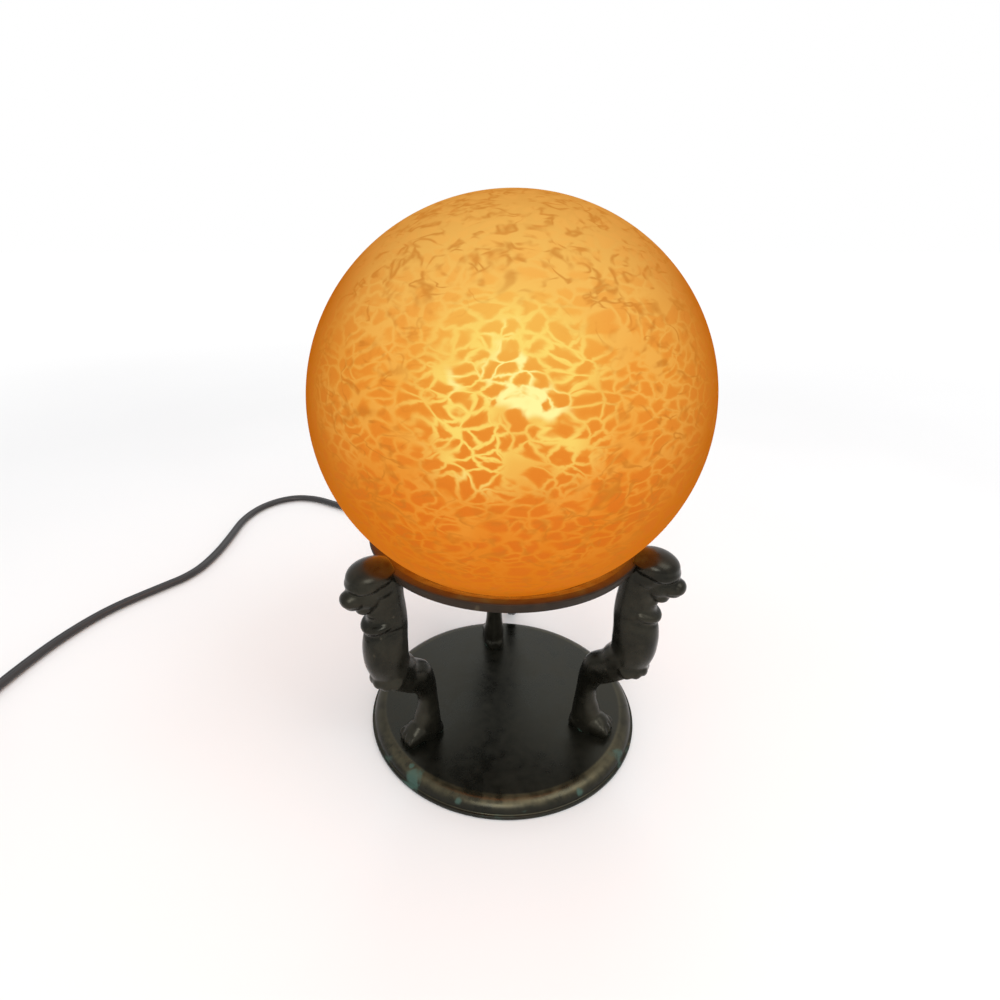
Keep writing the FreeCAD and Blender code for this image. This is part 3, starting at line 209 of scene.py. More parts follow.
def limb_parts(sections: Sequence[Point], steps: int = 5,
               around: int = 32) -> tuple[np.ndarray, list]:
    """A closed limb through elliptical sections.

    Args:
        sections: rows of radius, height, half depth, half width and lean, as on the figure.
        steps: rows between two drawn sections.
        around: steps round a section.

    Returns:
        Vertices and faces.
    """
    rows = eased(sections, steps)
    turns = np.linspace(0, 2 * math.pi, around, endpoint=False)
    vertices = []
    for radius, height, depth, width, lean in rows:
        tip = math.radians(lean)
        for turn in turns:
            reach = depth * math.cos(turn)
            vertices.append((radius + reach * math.cos(tip), width * math.sin(turn),
                             height - reach * math.sin(tip)))
    return np.array(vertices), tube_faces(len(rows), around)


# ---- shader node helpers --------------------------------------------------------------------
# A ramp is given as the arguments of remap, and a noise as scale, detail and distortion.
def feed(tree: Tree, node: bpy.types.Node, inputs: dict) -> None:
    """Set a node's inputs, each by a value or by the socket that feeds it."""
    for key, value in inputs.items():
        if isinstance(value, bpy.types.NodeSocket):
            tree.links.new(value, node.inputs[key])
        else:
            node.inputs[key].default_value = value


def add_node(tree: Tree, kind: str, inputs: dict | None = None,
             **settings: object) -> bpy.types.Node:
    """Add a shader node.

    Args:
        tree: the node tree.
        kind: the node's type, without the word ShaderNode.
        inputs: input name or index to a value or to the socket that feeds it.
        **settings: the node's own properties.

    Returns:
        The node.
    """
    node = tree.nodes.new("ShaderNode" + kind)
    for key, value in settings.items():
        setattr(node, key, value)
    feed(tree, node, inputs or {})
    return node


def calc(tree: Tree, operation: str, *values: object) -> Socket:
    """The result of a Math node."""
    node = add_node(tree, "Math", dict(enumerate(values)), operation=operation)
    return node.outputs[0]


def product(tree: Tree, first: object, *others: object) -> Socket:
    """Factors multiplied in turn."""
    for other in others:
        first = calc(tree, "MULTIPLY", first, other)
    return first


def remap(tree: Tree, value: Socket, low: float, high: float, to_low: float = 0.0,
          to_high: float = 1.0) -> Socket:
    """A value carried smoothly from one range to another, and held inside it."""
    node = add_node(tree, "MapRange", {"Value": value, "From Min": low, "From Max": high,
                                       "To Min": to_low, "To Max": to_high},
                    interpolation_type="SMOOTHSTEP")
    return node.outputs["Result"]


def blend(tree: Tree, factor: object, first: object, second: object,
          mode: str = "MIX") -> Socket:
    """Two colours mixed by a factor."""
    node = add_node(tree, "Mix", {0: factor, 6: first, 7: second}, data_type="RGBA",
                    blend_type=mode)
    return node.outputs[2]


def noise(tree: Tree, vector: Socket, scale: Socket | float, detail: float = 3.0,
          distortion: float = 0.0) -> Socket:
    """The value of a noise texture."""
    node = add_node(tree, "TexNoise", {"Vector": vector, "Scale": scale, "Detail": detail,
                                       "Distortion": distortion})
    return node.outputs["Fac"]


def scaled(tree: Tree, vector: Socket, factors: Point) -> Socket:
    """A vector scaled along each axis."""
    node = add_node(tree, "VectorMath", {0: vector, 1: factors}, operation="MULTIPLY")
    return node.outputs[0]


def length_of(tree: Tree, vector: Socket) -> Socket:
    """The length of a vector."""
    return add_node(tree, "VectorMath", {0: vector}, operation="LENGTH").outputs["Value"]


def off_axis(tree: Tree, where: Socket) -> Socket:
    """How far a place lies from the lamp's axis, in metres."""
    return length_of(tree, scaled(tree, where, (1.0, 1.0, 0.0)))


def coordinate(tree: Tree, where: Socket, axis: str) -> Socket:
    """One coordinate of a place."""
    return add_node(tree, "SeparateXYZ", {0: where}).outputs[axis]


def bent(tree: Tree, where: Socket, scale: float, reach: Socket | float) -> Socket:
    """Coordinates pushed about by a noise, by up to half of reach each way."""
    wander = add_node(tree, "TexNoise", {"Vector": where, "Scale": scale, "Detail": 2.0})
    centred = add_node(tree, "VectorMath", {0: wander.outputs["Color"], 1: (0.5, 0.5, 0.5)},
                       operation="SUBTRACT")
    push = add_node(tree, "VectorMath", {0: centred.outputs[0], "Scale": reach},
                    operation="SCALE")
    moved = add_node(tree, "VectorMath", {0: where, 1: push.outputs[0]}, operation="ADD")
    return moved.outputs[0]


def bump(tree: Tree, height: Socket, distance_mm: float, strength: float) -> Socket:
    """A bumped normal."""
    node = add_node(tree, "Bump", {"Height": height, "Distance": distance_mm * MM,
                                   "Strength": strength})
    return node.outputs["Normal"]


def rgba(red: float, green: float, blue: float) -> Colour:
    """A linear colour with full alpha."""
    return (red, green, blue, 1.0)


def from_screen(red: int, green: int, blue: int) -> Colour:
    """The linear colour of an 8-bit screen colour."""
    linear = [((v / 255 + 0.055) / 1.055) ** 2.4 if v > 10 else v / 255 / 12.92
              for v in (red, green, blue)]
    return rgba(*linear)


def start_material(name: str) -> tuple[bpy.types.Material, Tree, bpy.types.Node, Socket]:
    """A new material with its shader and the coordinates of the lamp's frame."""
    material = bpy.data.materials.new(name)
    material.use_nodes = True
    tree = material.node_tree
    shader = tree.nodes["Principled BSDF"]
    where = add_node(tree, "TexCoord").outputs["Object"]
    return material, tree, shader, where


def camera_or_cast(tree: Tree, seen: float, cast: float) -> Socket:
    """One strength for what the camera sees and another for the light that is cast."""
    camera_ray = add_node(tree, "LightPath").outputs["Is Camera Ray"]
    return remap(tree, camera_ray, 0.0, 1.0, cast, seen)


# ---- shared effects -------------------------------------------------------------------------
def new_group(name: str, inputs: Sequence[tuple[str, str, object]],
              outputs: Sequence[str]) -> tuple[Tree, dict, dict]:
    """Start a shader node group with named sockets.

    Args:
        name: the group's name.
        inputs: name, socket type and default of each input.
        outputs: name of each output, all of them values.

    Returns:
        The tree, the group's inner input sockets by name, and its inner output sockets.
    """
    tree = bpy.data.node_groups.new(name, "ShaderNodeTree")
    for label, kind, value in inputs:
        socket = tree.interface.new_socket(label, in_out="INPUT", socket_type=kind)
        if value is not None:
            socket.default_value = value
    for label in outputs:
        tree.interface.new_socket(label, in_out="OUTPUT", socket_type=FLOAT)
    start = tree.nodes.new("NodeGroupInput")
    end = tree.nodes.new("NodeGroupOutput")
    return (tree, {s.name: s for s in start.outputs if s.name},
            {s.name: s for s in end.inputs if s.name})


def place_group(tree: Tree, group: Tree, inputs: dict) -> bpy.types.Node:
    """Use a node group in a material."""
    node = tree.nodes.new("ShaderNodeGroup")
    node.node_tree = group
    feed(tree, node, inputs)
    return node


@dataclass(frozen=True)
class Patina:
    """Age on cast metal: wear on its edges, green crust where it is let in, uneven tone and pits.
    """

    name: str = "fx_patina"
    grain_scale: float = 420.0
    grain_detail: float = 3.0
    wear_start: float = 0.52
    edge_noise: tuple = (160.0, 4.0)
    edge_break: float = 0.05
    wear_ramp: tuple = (0.0, 0.06)
    stray_ramp: tuple = (0.16, 0.22, 1.0, 0.0)
    crust_noise: tuple = (170.0, 7.0, 0.5)
    crust_ramp: tuple = (0.84, 1.10)
    cloud_noise: tuple = (38.0, 6.0, 0.4)
    fine_noise: tuple = (240.0, 4.0)
    fine_share: float = 0.4
    swell_noise: tuple = (110.0, 3.0)
    grain_height: float = 0.25
    crust_height: float = 0.5

    def build(self) -> Tree:
        """Make the group.

        Returns:
            The group, with Wear, Crust, Tone and Height outputs.
        """
        tree, given, result = new_group(
            self.name,
            [("Vector", VECTOR, None), ("Grain", FLOAT, self.grain_scale),
             ("Wear Start", FLOAT, self.wear_start), ("Crust Zone", FLOAT, 0.0)],
            ["Wear", "Crust", "Tone", "Height"])
        where = given["Vector"]
        edge = add_node(tree, "NewGeometry").outputs["Pointiness"]
        broken = calc(tree, "MULTIPLY_ADD", noise(tree, where, *self.edge_noise),
                      self.edge_break, calc(tree, "SUBTRACT", edge, self.edge_break / 2))
        raised = calc(tree, "SUBTRACT", broken, given["Wear Start"])
        # a single raised point of the skin is no edge, so the sharpest ones are left out
        wear = product(tree, remap(tree, raised, *self.wear_ramp),
                       remap(tree, raised, *self.stray_ramp))
        tree.links.new(wear, result["Wear"])
        level = calc(tree, "ADD", noise(tree, where, *self.crust_noise), given["Crust Zone"])
        crust = remap(tree, level, *self.crust_ramp)
        tree.links.new(crust, result["Crust"])
        clouds = product(tree, noise(tree, where, *self.cloud_noise), 1 - self.fine_share)
        tone = calc(tree, "MULTIPLY_ADD", noise(tree, where, *self.fine_noise),
                    self.fine_share, clouds)
        tree.links.new(tone, result["Tone"])
        grain = noise(tree, where, given["Grain"], self.grain_detail)
        height = calc(tree, "MULTIPLY_ADD", grain, self.grain_height,
                      noise(tree, where, *self.swell_noise))
        tree.links.new(calc(tree, "MULTIPLY_ADD", crust, self.crust_height, height),
                       result["Height"])
        return tree


@dataclass(frozen=True)
class Mottle:
    """The mottle of cased art glass: round cells, a web of veins between them, and flecks."""

    name: str = "fx_mottle"
    cell_scale: float = 148.0
    warp: float = 0.019
    warp_scale: float = 46.0
    ruffle: float = 0.0042
    ruffle_scale: float = 190.0
    squat: tuple = (1.0, 1.0, 1.55)
    smoothness: float = 0.35
    cell_ramp: tuple = (0.76, 0.42)
    inside_ramp: tuple = (0.0, 0.25)
    gate_noise: tuple = (44.0, 2.0)
    gate_ramp: tuple = (0.38, 0.58, 0.30, 1.0)
    pool_ramp: tuple = (0.58, 0.80)
    line_ramp: tuple = (0.15, 0.0)
    glint_noise: tuple = (62.0, 2.0)
    glint_ramp: tuple = (0.52, 0.64)
    glint_pool_ramp: tuple = (0.54, 0.72)
    glint_line_ramp: tuple = (0.10, 0.0, 0.0, 0.8)
    fleck_squat: tuple = (1.0, 1.0, 1.7)
    fleck_noises: tuple = (((62.0, 2.0, 0.8), (150.0, 2.0)), ((84.0, 2.0, 0.8), (120.0, 2.0)))
    fleck_place_ramp: tuple = (0.45, 0.62)
    fleck_stroke_ramp: tuple = (0.060, 0.0)
    cloud_noise: tuple = (24.0, 3.0)
    web_height: float = -0.5

    def build(self) -> Tree:
        """Make the group.

        Returns:
            The group, with Cells, Web, Glints, Flecks, Clouds and Height outputs.
        """
        tree, given, result = new_group(
            self.name,
            [("Vector", VECTOR, None), ("Cell", FLOAT, self.cell_scale),
             ("Warp", FLOAT, self.warp)],
            ["Cells", "Web", "Glints", "Flecks", "Clouds", "Height"])
        where = given["Vector"]
        warped = bent(tree, scaled(tree, where, self.squat), self.warp_scale, given["Warp"])
        warped = bent(tree, warped, self.ruffle_scale, self.ruffle)
        body = add_node(tree, "TexVoronoi", {"Vector": warped, "Scale": given["Cell"],
                                             "Smoothness": self.smoothness},
                        feature="SMOOTH_F1").outputs["Distance"]
        rim = add_node(tree, "TexVoronoi", {"Vector": warped, "Scale": given["Cell"]},
                       feature="DISTANCE_TO_EDGE").outputs["Distance"]
        cells = product(tree, remap(tree, body, *self.cell_ramp),
                        remap(tree, rim, *self.inside_ramp))
        tree.links.new(cells, result["Cells"])
        gate = remap(tree, noise(tree, where, *self.gate_noise), *self.gate_ramp)
        veins = calc(tree, "MAXIMUM", remap(tree, body, *self.pool_ramp),
                     remap(tree, rim, *self.line_ramp))
        web = product(tree, veins, gate)
        tree.links.new(web, result["Web"])
        bright = remap(tree, noise(tree, where, *self.glint_noise), *self.glint_ramp)
        sharp = calc(tree, "MAXIMUM", remap(tree, body, *self.glint_pool_ramp),
                     remap(tree, rim, *self.glint_line_ramp))
        tree.links.new(product(tree, sharp, bright), result["Glints"])
        tree.links.new(self.flecks(tree, where), result["Flecks"])
        tree.links.new(noise(tree, where, *self.cloud_noise), result["Clouds"])
        tree.links.new(calc(tree, "MULTIPLY_ADD", web, self.web_height, body),
                       result["Height"])
        return tree

    def flecks(self, tree: Tree, where: Socket) -> Socket:
        """Short curled strokes, along the middle level of each curl's noise."""
        streaks = scaled(tree, where, self.fleck_squat)
        layers = []
        for curl, spread in self.fleck_noises:
            level = calc(tree, "SUBTRACT", noise(tree, streaks, *curl), 0.5)
            places = remap(tree, noise(tree, where, *spread), *self.fleck_place_ramp)
            stroke = remap(tree, calc(tree, "ABSOLUTE", level), *self.fleck_stroke_ramp)
            layers.append(product(tree, stroke, places))
        return calc(tree, "MAXIMUM", *layers)


@dataclass(frozen=True)
class Handling:
    """Marks of use on mouldings, sheaths and plain metal: smears, specks and a fine grain."""

    name: str = "fx_handling"
    grain_scale: float = 900.0
    grain_detail: float = 2.0
    smear_noise: tuple = (60.0, 5.0, 0.8)
    speck_noise: tuple = (700.0, 2.0)
    speck_ramp: tuple = (0.62, 0.72)

    def build(self) -> Tree:
        """Make the group.

        Returns:
            The group, with Smears, Specks and Height outputs.
        """
        tree, given, result = new_group(
            self.name, [("Vector", VECTOR, None), ("Grain", FLOAT, self.grain_scale)],
            ["Smears", "Specks", "Height"])
        where = given["Vector"]
        specks = remap(tree, noise(tree, where, *self.speck_noise), *self.speck_ramp)
        tree.links.new(noise(tree, where, *self.smear_noise), result["Smears"])
        tree.links.new(specks, result["Specks"])
        tree.links.new(noise(tree, where, given["Grain"], self.grain_detail),
                       result["Height"])
        return tree


class Effects:
    """The shared node groups, each built once."""

    def __init__(self) -> None:
        """Build every group."""
        self.patina = Patina().build()
        self.mottle = Mottle().build()
        self.handling = Handling().build()


# ---- finishes -------------------------------------------------------------------------------
class CrustPlace(Enum):
    """Where green crust settles on a casting."""

    RIM = "rim"
    FOOT = "foot"


@dataclass(frozen=True)
class CastBronze:
    """Dark patinated cast metal.

    A patch of crust is given as x, y, z and reach in millimetres, and the band of wear that also
    carries a painted highlight along its front as its inner and outer radius in metres and its
    amount.
    """

    name: str
    dark: Colour
    pale: Colour
    # the colour of wear on edges, also the colour of the painted highlight on the base's band
    worn_and_highlight: Colour
    crust_place: CrustPlace
    crust: Colour = from_screen(56, 88, 77)
    crust_cover: float = 0.72
    rim_zone: tuple = (0.0590, 0.0635, 0.0, 0.30)
    foot_zone: tuple = (0.0105, 0.0072, 0.0, 0.40)
    patches: tuple = ()
    patch_zone: float = 0.66
    wear_start: float = 0.52
    wear_share: float = 0.3
    # a band of wear that also carries a painted highlight, strongest at the front
    rubbed_and_highlight: tuple = ()
    rubbed_and_highlight_fades: tuple = (0.0012, 0.0022)
    rubbed_and_highlight_tone_ramp: tuple = (0.35, 0.60, 0.25, 1.0)
    # the painted highlight: the band is strongest at the front and fades towards the back
    front_highlight_ramp: tuple = (-0.012, -0.050, 0.30, 1.0)
    tone_ramp: tuple = (0.30, 0.70)
    rough_ramp: tuple = (0.35, 0.65)
    roughness: tuple = (0.24, 0.42)
    crust_roughness: float = 0.3
    metallic: float = 0.75
    crust_metallic: float = 0.05
    shine: float = 0.35
    bump_mm: float = 0.10
    bump_strength: float = 0.5

    def build(self, effects: Effects) -> bpy.types.Material:
        """Make the material."""
        material, tree, shader, where = start_material(self.name)
        age = place_group(tree, effects.patina, {
            "Vector": where, "Wear Start": self.wear_start,
            "Crust Zone": self.zone(tree, where)}).outputs
        body = blend(tree, remap(tree, age["Tone"], *self.tone_ramp), self.dark, self.pale)
        bare_and_highlight = product(tree, age["Wear"], self.wear_share)
        if self.rubbed_and_highlight:
            # the base's band adds wear and a painted highlight along its front
            bare_and_highlight = calc(tree, "MAXIMUM", self.band(tree, where, age["Tone"]), bare_and_highlight)
        body = blend(tree, bare_and_highlight, body, self.worn_and_highlight)
        body = blend(tree, product(tree, age["Crust"], self.crust_cover), body, self.crust)
        rough = remap(tree, age["Tone"], *self.rough_ramp, *self.roughness)
        feed(tree, shader, {
            "Base Color": body,
            "Roughness": calc(tree, "MULTIPLY_ADD", age["Crust"], self.crust_roughness, rough),
            "Metallic": remap(tree, age["Crust"], 0.0, 1.0, self.metallic,
                              self.crust_metallic),
            "Normal": bump(tree, age["Height"], self.bump_mm, self.bump_strength),
            "Specular IOR Level": self.shine})
        return material

    def zone(self, tree: Tree, where: Socket) -> Socket:
        """How readily crust settles at a place, from 0 upwards."""
        if self.crust_place is CrustPlace.RIM:
            zone = remap(tree, off_axis(tree, where), *self.rim_zone)
        else:
            zone = remap(tree, coordinate(tree, where, "Z"), *self.foot_zone)
        for x, y, z, size in self.patches:
            away = add_node(tree, "VectorMath", {0: where, 1: (x * MM, y * MM, z * MM)},
                            operation="DISTANCE").outputs["Value"]
            patch = remap(tree, away, size * MM, 0.0, 0.0, self.patch_zone)
            zone = calc(tree, "MAXIMUM", zone, patch)
        return zone

    def band(self, tree: Tree, where: Socket, tone: Socket) -> Socket:
        """Wear from hands and cloths all round, with a painted highlight strongest at the front.
        """
        reach = off_axis(tree, where)
        inner, outer, amount = self.rubbed_and_highlight
        fade_in, fade_out = self.rubbed_and_highlight_fades
        return product(tree, remap(tree, reach, inner - fade_in, inner, 0.0, amount),
                       remap(tree, reach, outer, outer + fade_out, 1.0, 0.0),
                       remap(tree, tone, *self.rubbed_and_highlight_tone_ramp),
                       # painted highlight: stronger towards the front
                       remap(tree, coordinate(tree, where, "Y"), *self.front_highlight_ramp))


NOISE_RAMP = (0.3, 0.7)  # where most of the values of a noise lie


@dataclass(frozen=True)
class PlainMetal:
    """Turned or pressed metal with faint handling marks."""

    name: str
    colour: Colour
    dulled: Colour
    roughness: tuple = (0.22, 0.42)
    bump_mm: float = 0.02
    bump_strength: float = 0.3

    def build(self, effects: Effects) -> bpy.types.Material:
        """Make the material."""
        material, tree, shader, where = start_material(self.name)
        marks = place_group(tree, effects.handling, {"Vector": where}).outputs
        feed(tree, shader, {
            "Base Color": blend(tree, marks["Smears"], self.colour, self.dulled),
            "Roughness": remap(tree, marks["Smears"], *NOISE_RAMP, *self.roughness),
            "Metallic": 1.0,
            "Normal": bump(tree, marks["Height"], self.bump_mm, self.bump_strength)})
        return material


@dataclass(frozen=True)
class Moulding:
    """Plastic, rubber, fibre, felt or ceramic with faint handling marks."""

    name: str
    colour: Colour
    dulled: Colour
    roughness: tuple = (0.38, 0.6)
    grain: float = 900.0
    bump_mm: float = 0.03
    bump_strength: float = 0.4
    speck_share: float = 0.35

    def build(self, effects: Effects) -> bpy.types.Material:
        """Make the material."""
        material, tree, shader, where = start_material(self.name)
        marks = place_group(tree, effects.handling,
                            {"Vector": where, "Grain": self.grain}).outputs
        body = blend(tree, marks["Smears"], self.colour, self.dulled)
        specks = product(tree, marks["Specks"], self.speck_share)
        feed(tree, shader, {
            "Base Color": blend(tree, specks, body, self.dulled),
            "Roughness": remap(tree, marks["Smears"], *NOISE_RAMP, *self.roughness),
            "Normal": bump(tree, marks["Height"], self.bump_mm, self.bump_strength)})
        return material


@dataclass(frozen=True)
class BulbGlass:
    """A lit frosted bulb."""

    name: str
    heart: Colour = rgba(1.0, 0.90, 0.66)
    edge: Colour = rgba(0.98, 0.60, 0.22)
    edge_ramp: tuple = (0.05, 0.85)
    smear_share: float = 0.12
    unlit: Colour = rgba(0.10, 0.07, 0.03)
    unlit_smear: Colour = rgba(0.08, 0.055, 0.02)
    strength: float = 0.96
    cast_strength: float = 6.0
    roughness: float = 0.4

    def build(self, effects: Effects) -> bpy.types.Material:
        """Make the material."""
        material, tree, shader, where = start_material(self.name)
        smears = place_group(tree, effects.handling, {"Vector": where}).outputs["Smears"]
        facing = add_node(tree, "LayerWeight", {"Blend": 0.5}).outputs["Facing"]
        body = blend(tree, remap(tree, facing, *self.edge_ramp), self.heart, self.edge)
        feed(tree, shader, {
            "Base Color": blend(tree, smears, self.unlit, self.unlit_smear),
            "Roughness": self.roughness,
            "Emission Color": blend(tree, product(tree, smears, self.smear_share), body,
                                    self.edge),
            "Emission Strength": camera_or_cast(tree, self.strength, self.cast_strength)})
        return material


@dataclass(frozen=True)
class ArtGlass:
    """Lit mottled amber glass: a glow and a web of veins where one looks through to the bulb.

    Facing is 0 where the glass is looked at squarely and 1 at its outline. The share of the
    height is 0 at the globe's middle and 1 at its crown.
    """

    name: str
    centre_z: float = GLOBE_CENTRE_Z * MM
    half_height: float = GLOBE_HALF_HEIGHT * MM
    low: Colour = from_screen(228, 123, 22)
    middle: Colour = from_screen(239, 164, 62)
    middle_height: tuple = (-0.35, 0.35)
    high: Colour = from_screen(244, 194, 98)
    high_height: tuple = (0.32, 0.80)
    cloud_ramp: tuple = (0.35, 0.65, 0.0, 0.10)
    # painted shade: the darker orange where the glass turns from the eye at its outline
    rim: Colour = from_screen(178, 92, 4)
    rim_shade_facing: tuple = (0.16, 0.95)
    rim_shade_crown: tuple = (0.50, 0.98, 1.0, 0.55)
    rim_shade_foot: tuple = (-0.70, 0.0, 0.45, 1.0)
    glow: Colour = from_screen(255, 242, 124)
    glow_facing: tuple = (0.26, 0.0)
    glow_height: tuple = (0.16, 0.72, 0.0, 0.66)
    shade: Colour = rgba(0.88, 0.66, 0.42)
    mottle_crown: tuple = (0.92, 0.58, 0.10, 1.0)
    cell_facing: tuple = (0.95, 0.20, 0.30, 0.95)
    cell_height: tuple = (0.66, 0.20, 0.62, 1.0)
    web_facing: tuple = (0.20, 0.05)
    web_height: tuple = (-0.22, 0.06, 0.12, 0.95)
    faint_facing: tuple = (0.85, 0.20, 0.0, 0.40)
    faint_height: tuple = (-0.30, 0.20)
    hot: Colour = from_screen(255, 253, 166)
    glint_facing: tuple = (0.15, 0.03)
    glint_height: tuple = (0.72, 0.52)
    fleck: Colour = from_screen(184, 108, 28)
    fleck_facing: tuple = (0.07, 0.28)
    fleck_height: tuple = (-0.55, 0.10, 0.40, 0.62)
    unlit: Colour = rgba(0.085, 0.028, 0.004)
    unlit_cell: Colour = rgba(0.115, 0.042, 0.008)
    strength: float = 0.91
    cast_strength: float = 3.2
    rough_ramp: tuple = (0.3, 0.7, 0.34, 0.46)
    bump_mm: float = 0.15
    bump_strength: float = 0.25

    def build(self, effects: Effects) -> bpy.types.Material:
        """Make the material."""
        material, tree, shader, where = start_material(self.name)
        mottle = place_group(tree, effects.mottle, {"Vector": where}).outputs
        facing = add_node(tree, "LayerWeight", {"Blend": 0.5}).outputs["Facing"]
        above = calc(tree, "SUBTRACT", coordinate(tree, where, "Z"), self.centre_z)
        share = calc(tree, "DIVIDE", above, self.half_height)
        body = self.tint(tree, mottle, facing, share)
        body = self.mottled(tree, body, mottle, facing, share)
        feed(tree, shader, {
            "Base Color": blend(tree, mottle["Cells"], self.unlit, self.unlit_cell),
            "Roughness": remap(tree, mottle["Clouds"], *self.rough_ramp),
            "Transmission Weight": 0.0,
            "Specular IOR Level": 0.0,
            "Normal": bump(tree, mottle["Height"], self.bump_mm, self.bump_strength),
            "Emission Color": body,
            "Emission Strength": camera_or_cast(tree, self.strength, self.cast_strength)})
        return material

    def tint(self, tree: Tree, mottle: bpy.types.NodeOutputs, facing: Socket,
             share: Socket) -> Socket:
        """The glass's colour: paler above, with a painted shade at the outline where the glass
        turns from the eye, glowing over the bulb.
        """
        body = blend(tree, remap(tree, share, *self.middle_height), self.low, self.middle)
        body = blend(tree, remap(tree, share, *self.high_height), body, self.high)
        body = blend(tree, remap(tree, mottle["Clouds"], *self.cloud_ramp), body, self.high)
        # painted shade towards the outline, less towards the crown and the mouth
        turned = product(tree, remap(tree, facing, *self.rim_shade_facing),
                         remap(tree, share, *self.rim_shade_crown),
                         remap(tree, share, *self.rim_shade_foot))
        body = blend(tree, turned, body, self.rim)
        glow = product(tree, remap(tree, facing, *self.glow_facing),
                       remap(tree, share, *self.glow_height))
        return blend(tree, glow, body, self.glow)

    def mottled(self, tree: Tree, body: Socket, mottle: bpy.types.NodeOutputs, facing: Socket,
                share: Socket) -> Socket:
        """Cells, veins, glints and flecks laid over the glass's colour.

        Cells and veins show most where one looks through to the bulb, and fade upwards.

        Args:
            tree: the material's node tree.
            body: the glass's own colour.
            mottle: the outputs of the mottle group.
            facing: how far the glass is turned from the eye.
            share: the share of the height.

        Returns:
            The mottled colour.
        """
        below_crown = remap(tree, share, *self.mottle_crown)
        deep = product(tree, remap(tree, facing, *self.cell_facing), below_crown,
                       remap(tree, share, *self.cell_height))
        body = blend(tree, product(tree, mottle["Cells"], deep), body, self.shade, "MULTIPLY")
        lit = product(tree, remap(tree, facing, *self.web_facing), below_crown,
                      remap(tree, share, *self.web_height))
        body = blend(tree, product(tree, mottle["Web"], lit), body, self.glow)
        faint = product(tree, remap(tree, facing, *self.faint_facing), below_crown)
        vein = blend(tree, remap(tree, share, *self.faint_height), self.middle, self.high)
        body = blend(tree, product(tree, mottle["Web"], faint), body, vein)
        glints = product(tree, mottle["Glints"], remap(tree, facing, *self.glint_facing),
                         remap(tree, share, *self.glint_height))
        body = blend(tree, glints, body, self.hot)
        outer = product(tree, remap(tree, facing, *self.fleck_facing),
                        remap(tree, share, *self.fleck_height))
        return blend(tree, product(tree, mottle["Flecks"], outer), body, self.fleck)


# the base's band of wear carries a painted highlight along its front
BASE_BRONZE = CastBronze(
    "bronze_base", dark=from_screen(31, 32, 27), pale=from_screen(46, 45, 37),
    worn_and_highlight=from_screen(112, 104, 78), crust_place=CrustPlace.RIM, rubbed_and_highlight=(0.0572, 0.0600, 0.55),
    patches=((49.5, -34.5, 4.5, 9.0), (30.7, -53.1, 4.0, 5.0), (-39.0, -47.5, 5.0, 10.0),
             (-20.4, -58.6, 5.0, 5.0), (-40.6, -42.2, 7.0, 3.2)))
RING_BRONZE = CastBronze(
    "bronze_ring", dark=from_screen(36, 28, 20), pale=from_screen(54, 41, 29),
    worn_and_highlight=from_screen(108, 98, 78), crust_place=CrustPlace.FOOT, roughness=(0.46, 0.60),
    metallic=0.30, shine=0.20)
LEG_BRONZE = CastBronze(
    "bronze_leg", dark=from_screen(30, 30, 25), pale=from_screen(52, 50, 41),
    worn_and_highlight=from_screen(110, 102, 86), crust_place=CrustPlace.FOOT, wear_start=0.54,
    wear_share=0.20, roughness=(0.20, 0.38))
FELT = Moulding("dark_felt", rgba(0.012, 0.02, 0.016), rgba(0.03, 0.04, 0.034),
                roughness=(0.9, 1.0), grain=2500.0, bump_mm=0.2)
SHEATH = Moulding("lead_sheath", rgba(0.012, 0.011, 0.011), rgba(0.03, 0.028, 0.027),
                  roughness=(0.35, 0.5), grain=500.0)
GLOBE_GLASS = ArtGlass("mottled_amber")


# ---- base -----------------------------------------------------------------------------------
@dataclass
class Base:
    """The cast base and its felt."""

    metal: bpy.types.Material
    felt: bpy.types.Material
    radius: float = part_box("base_disc")[1].x / MM
    top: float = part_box("base_disc")[1].z / MM
    lift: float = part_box("base_disc")[0].z / MM
    flat_setback: float = 6.7
    shoulder_steps: int = 14
    bead_height: float = 2.0
    bead_setback: float = 1.1
    bead_edge: float = 0.45
    foot_edge: float = 0.4
    felt_radius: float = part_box("base_felt")[1].x / MM
    felt_top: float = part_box("base_felt")[1].z / MM
    felt_edge: float = 0.5
    felt_gap: float = 0.3

    def build(self) -> list[bpy.types.Object]:
        """Make the base's pieces."""
        return [self.disc(), self.pad()]

    def disc(self) -> bpy.types.Object:
        """The base disc with its flat top, its shoulder and its foot bead."""
        flat = self.radius - self.flat_setback
        wide = self.radius - self.bead_setback - flat
        tall = self.top - self.bead_height
        face = [(reach, self.top) for reach in (0, 20, 40, flat - 3, flat - 0.6)]
        shoulder = [(flat + wide * math.sin(t), self.bead_height + tall * math.cos(t))
                    for t in np.linspace(0, math.pi / 2, self.shoulder_steps + 1)]
        bead = arc((self.radius - self.bead_edge, self.bead_height - self.bead_edge),
                   self.bead_edge, 90, 0, 5)
        foot = arc((self.radius - self.foot_edge, self.lift + self.foot_edge),
                   self.foot_edge, 0, -90, 4)
        inside = self.felt_radius + self.felt_gap
        under = [(inside, self.lift), (inside, self.felt_top), (0, self.felt_top)]
        mesh = revolve("base_disc_cast", face + shoulder + bead + foot + under, 240)
        piece = new_object("base_disc_cast", mesh)
        piece.data.materials.append(self.metal)
        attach(piece, LAMP)
        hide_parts("base_disc")
        return piece

    def pad(self) -> bpy.types.Object:
        """The felt under the base."""
        edge = arc((self.felt_radius - self.felt_edge, self.felt_edge), self.felt_edge,
                   0, -90, 4)
        outline = [(0, self.felt_top), (self.felt_radius, self.felt_top)] + edge + [(0, 0)]
        piece = new_object("base_felt_pad", revolve("base_felt_pad", outline, 160))
        piece.data.materials.append(self.felt)
        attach(piece, LAMP)
        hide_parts("base_felt")
        return piece


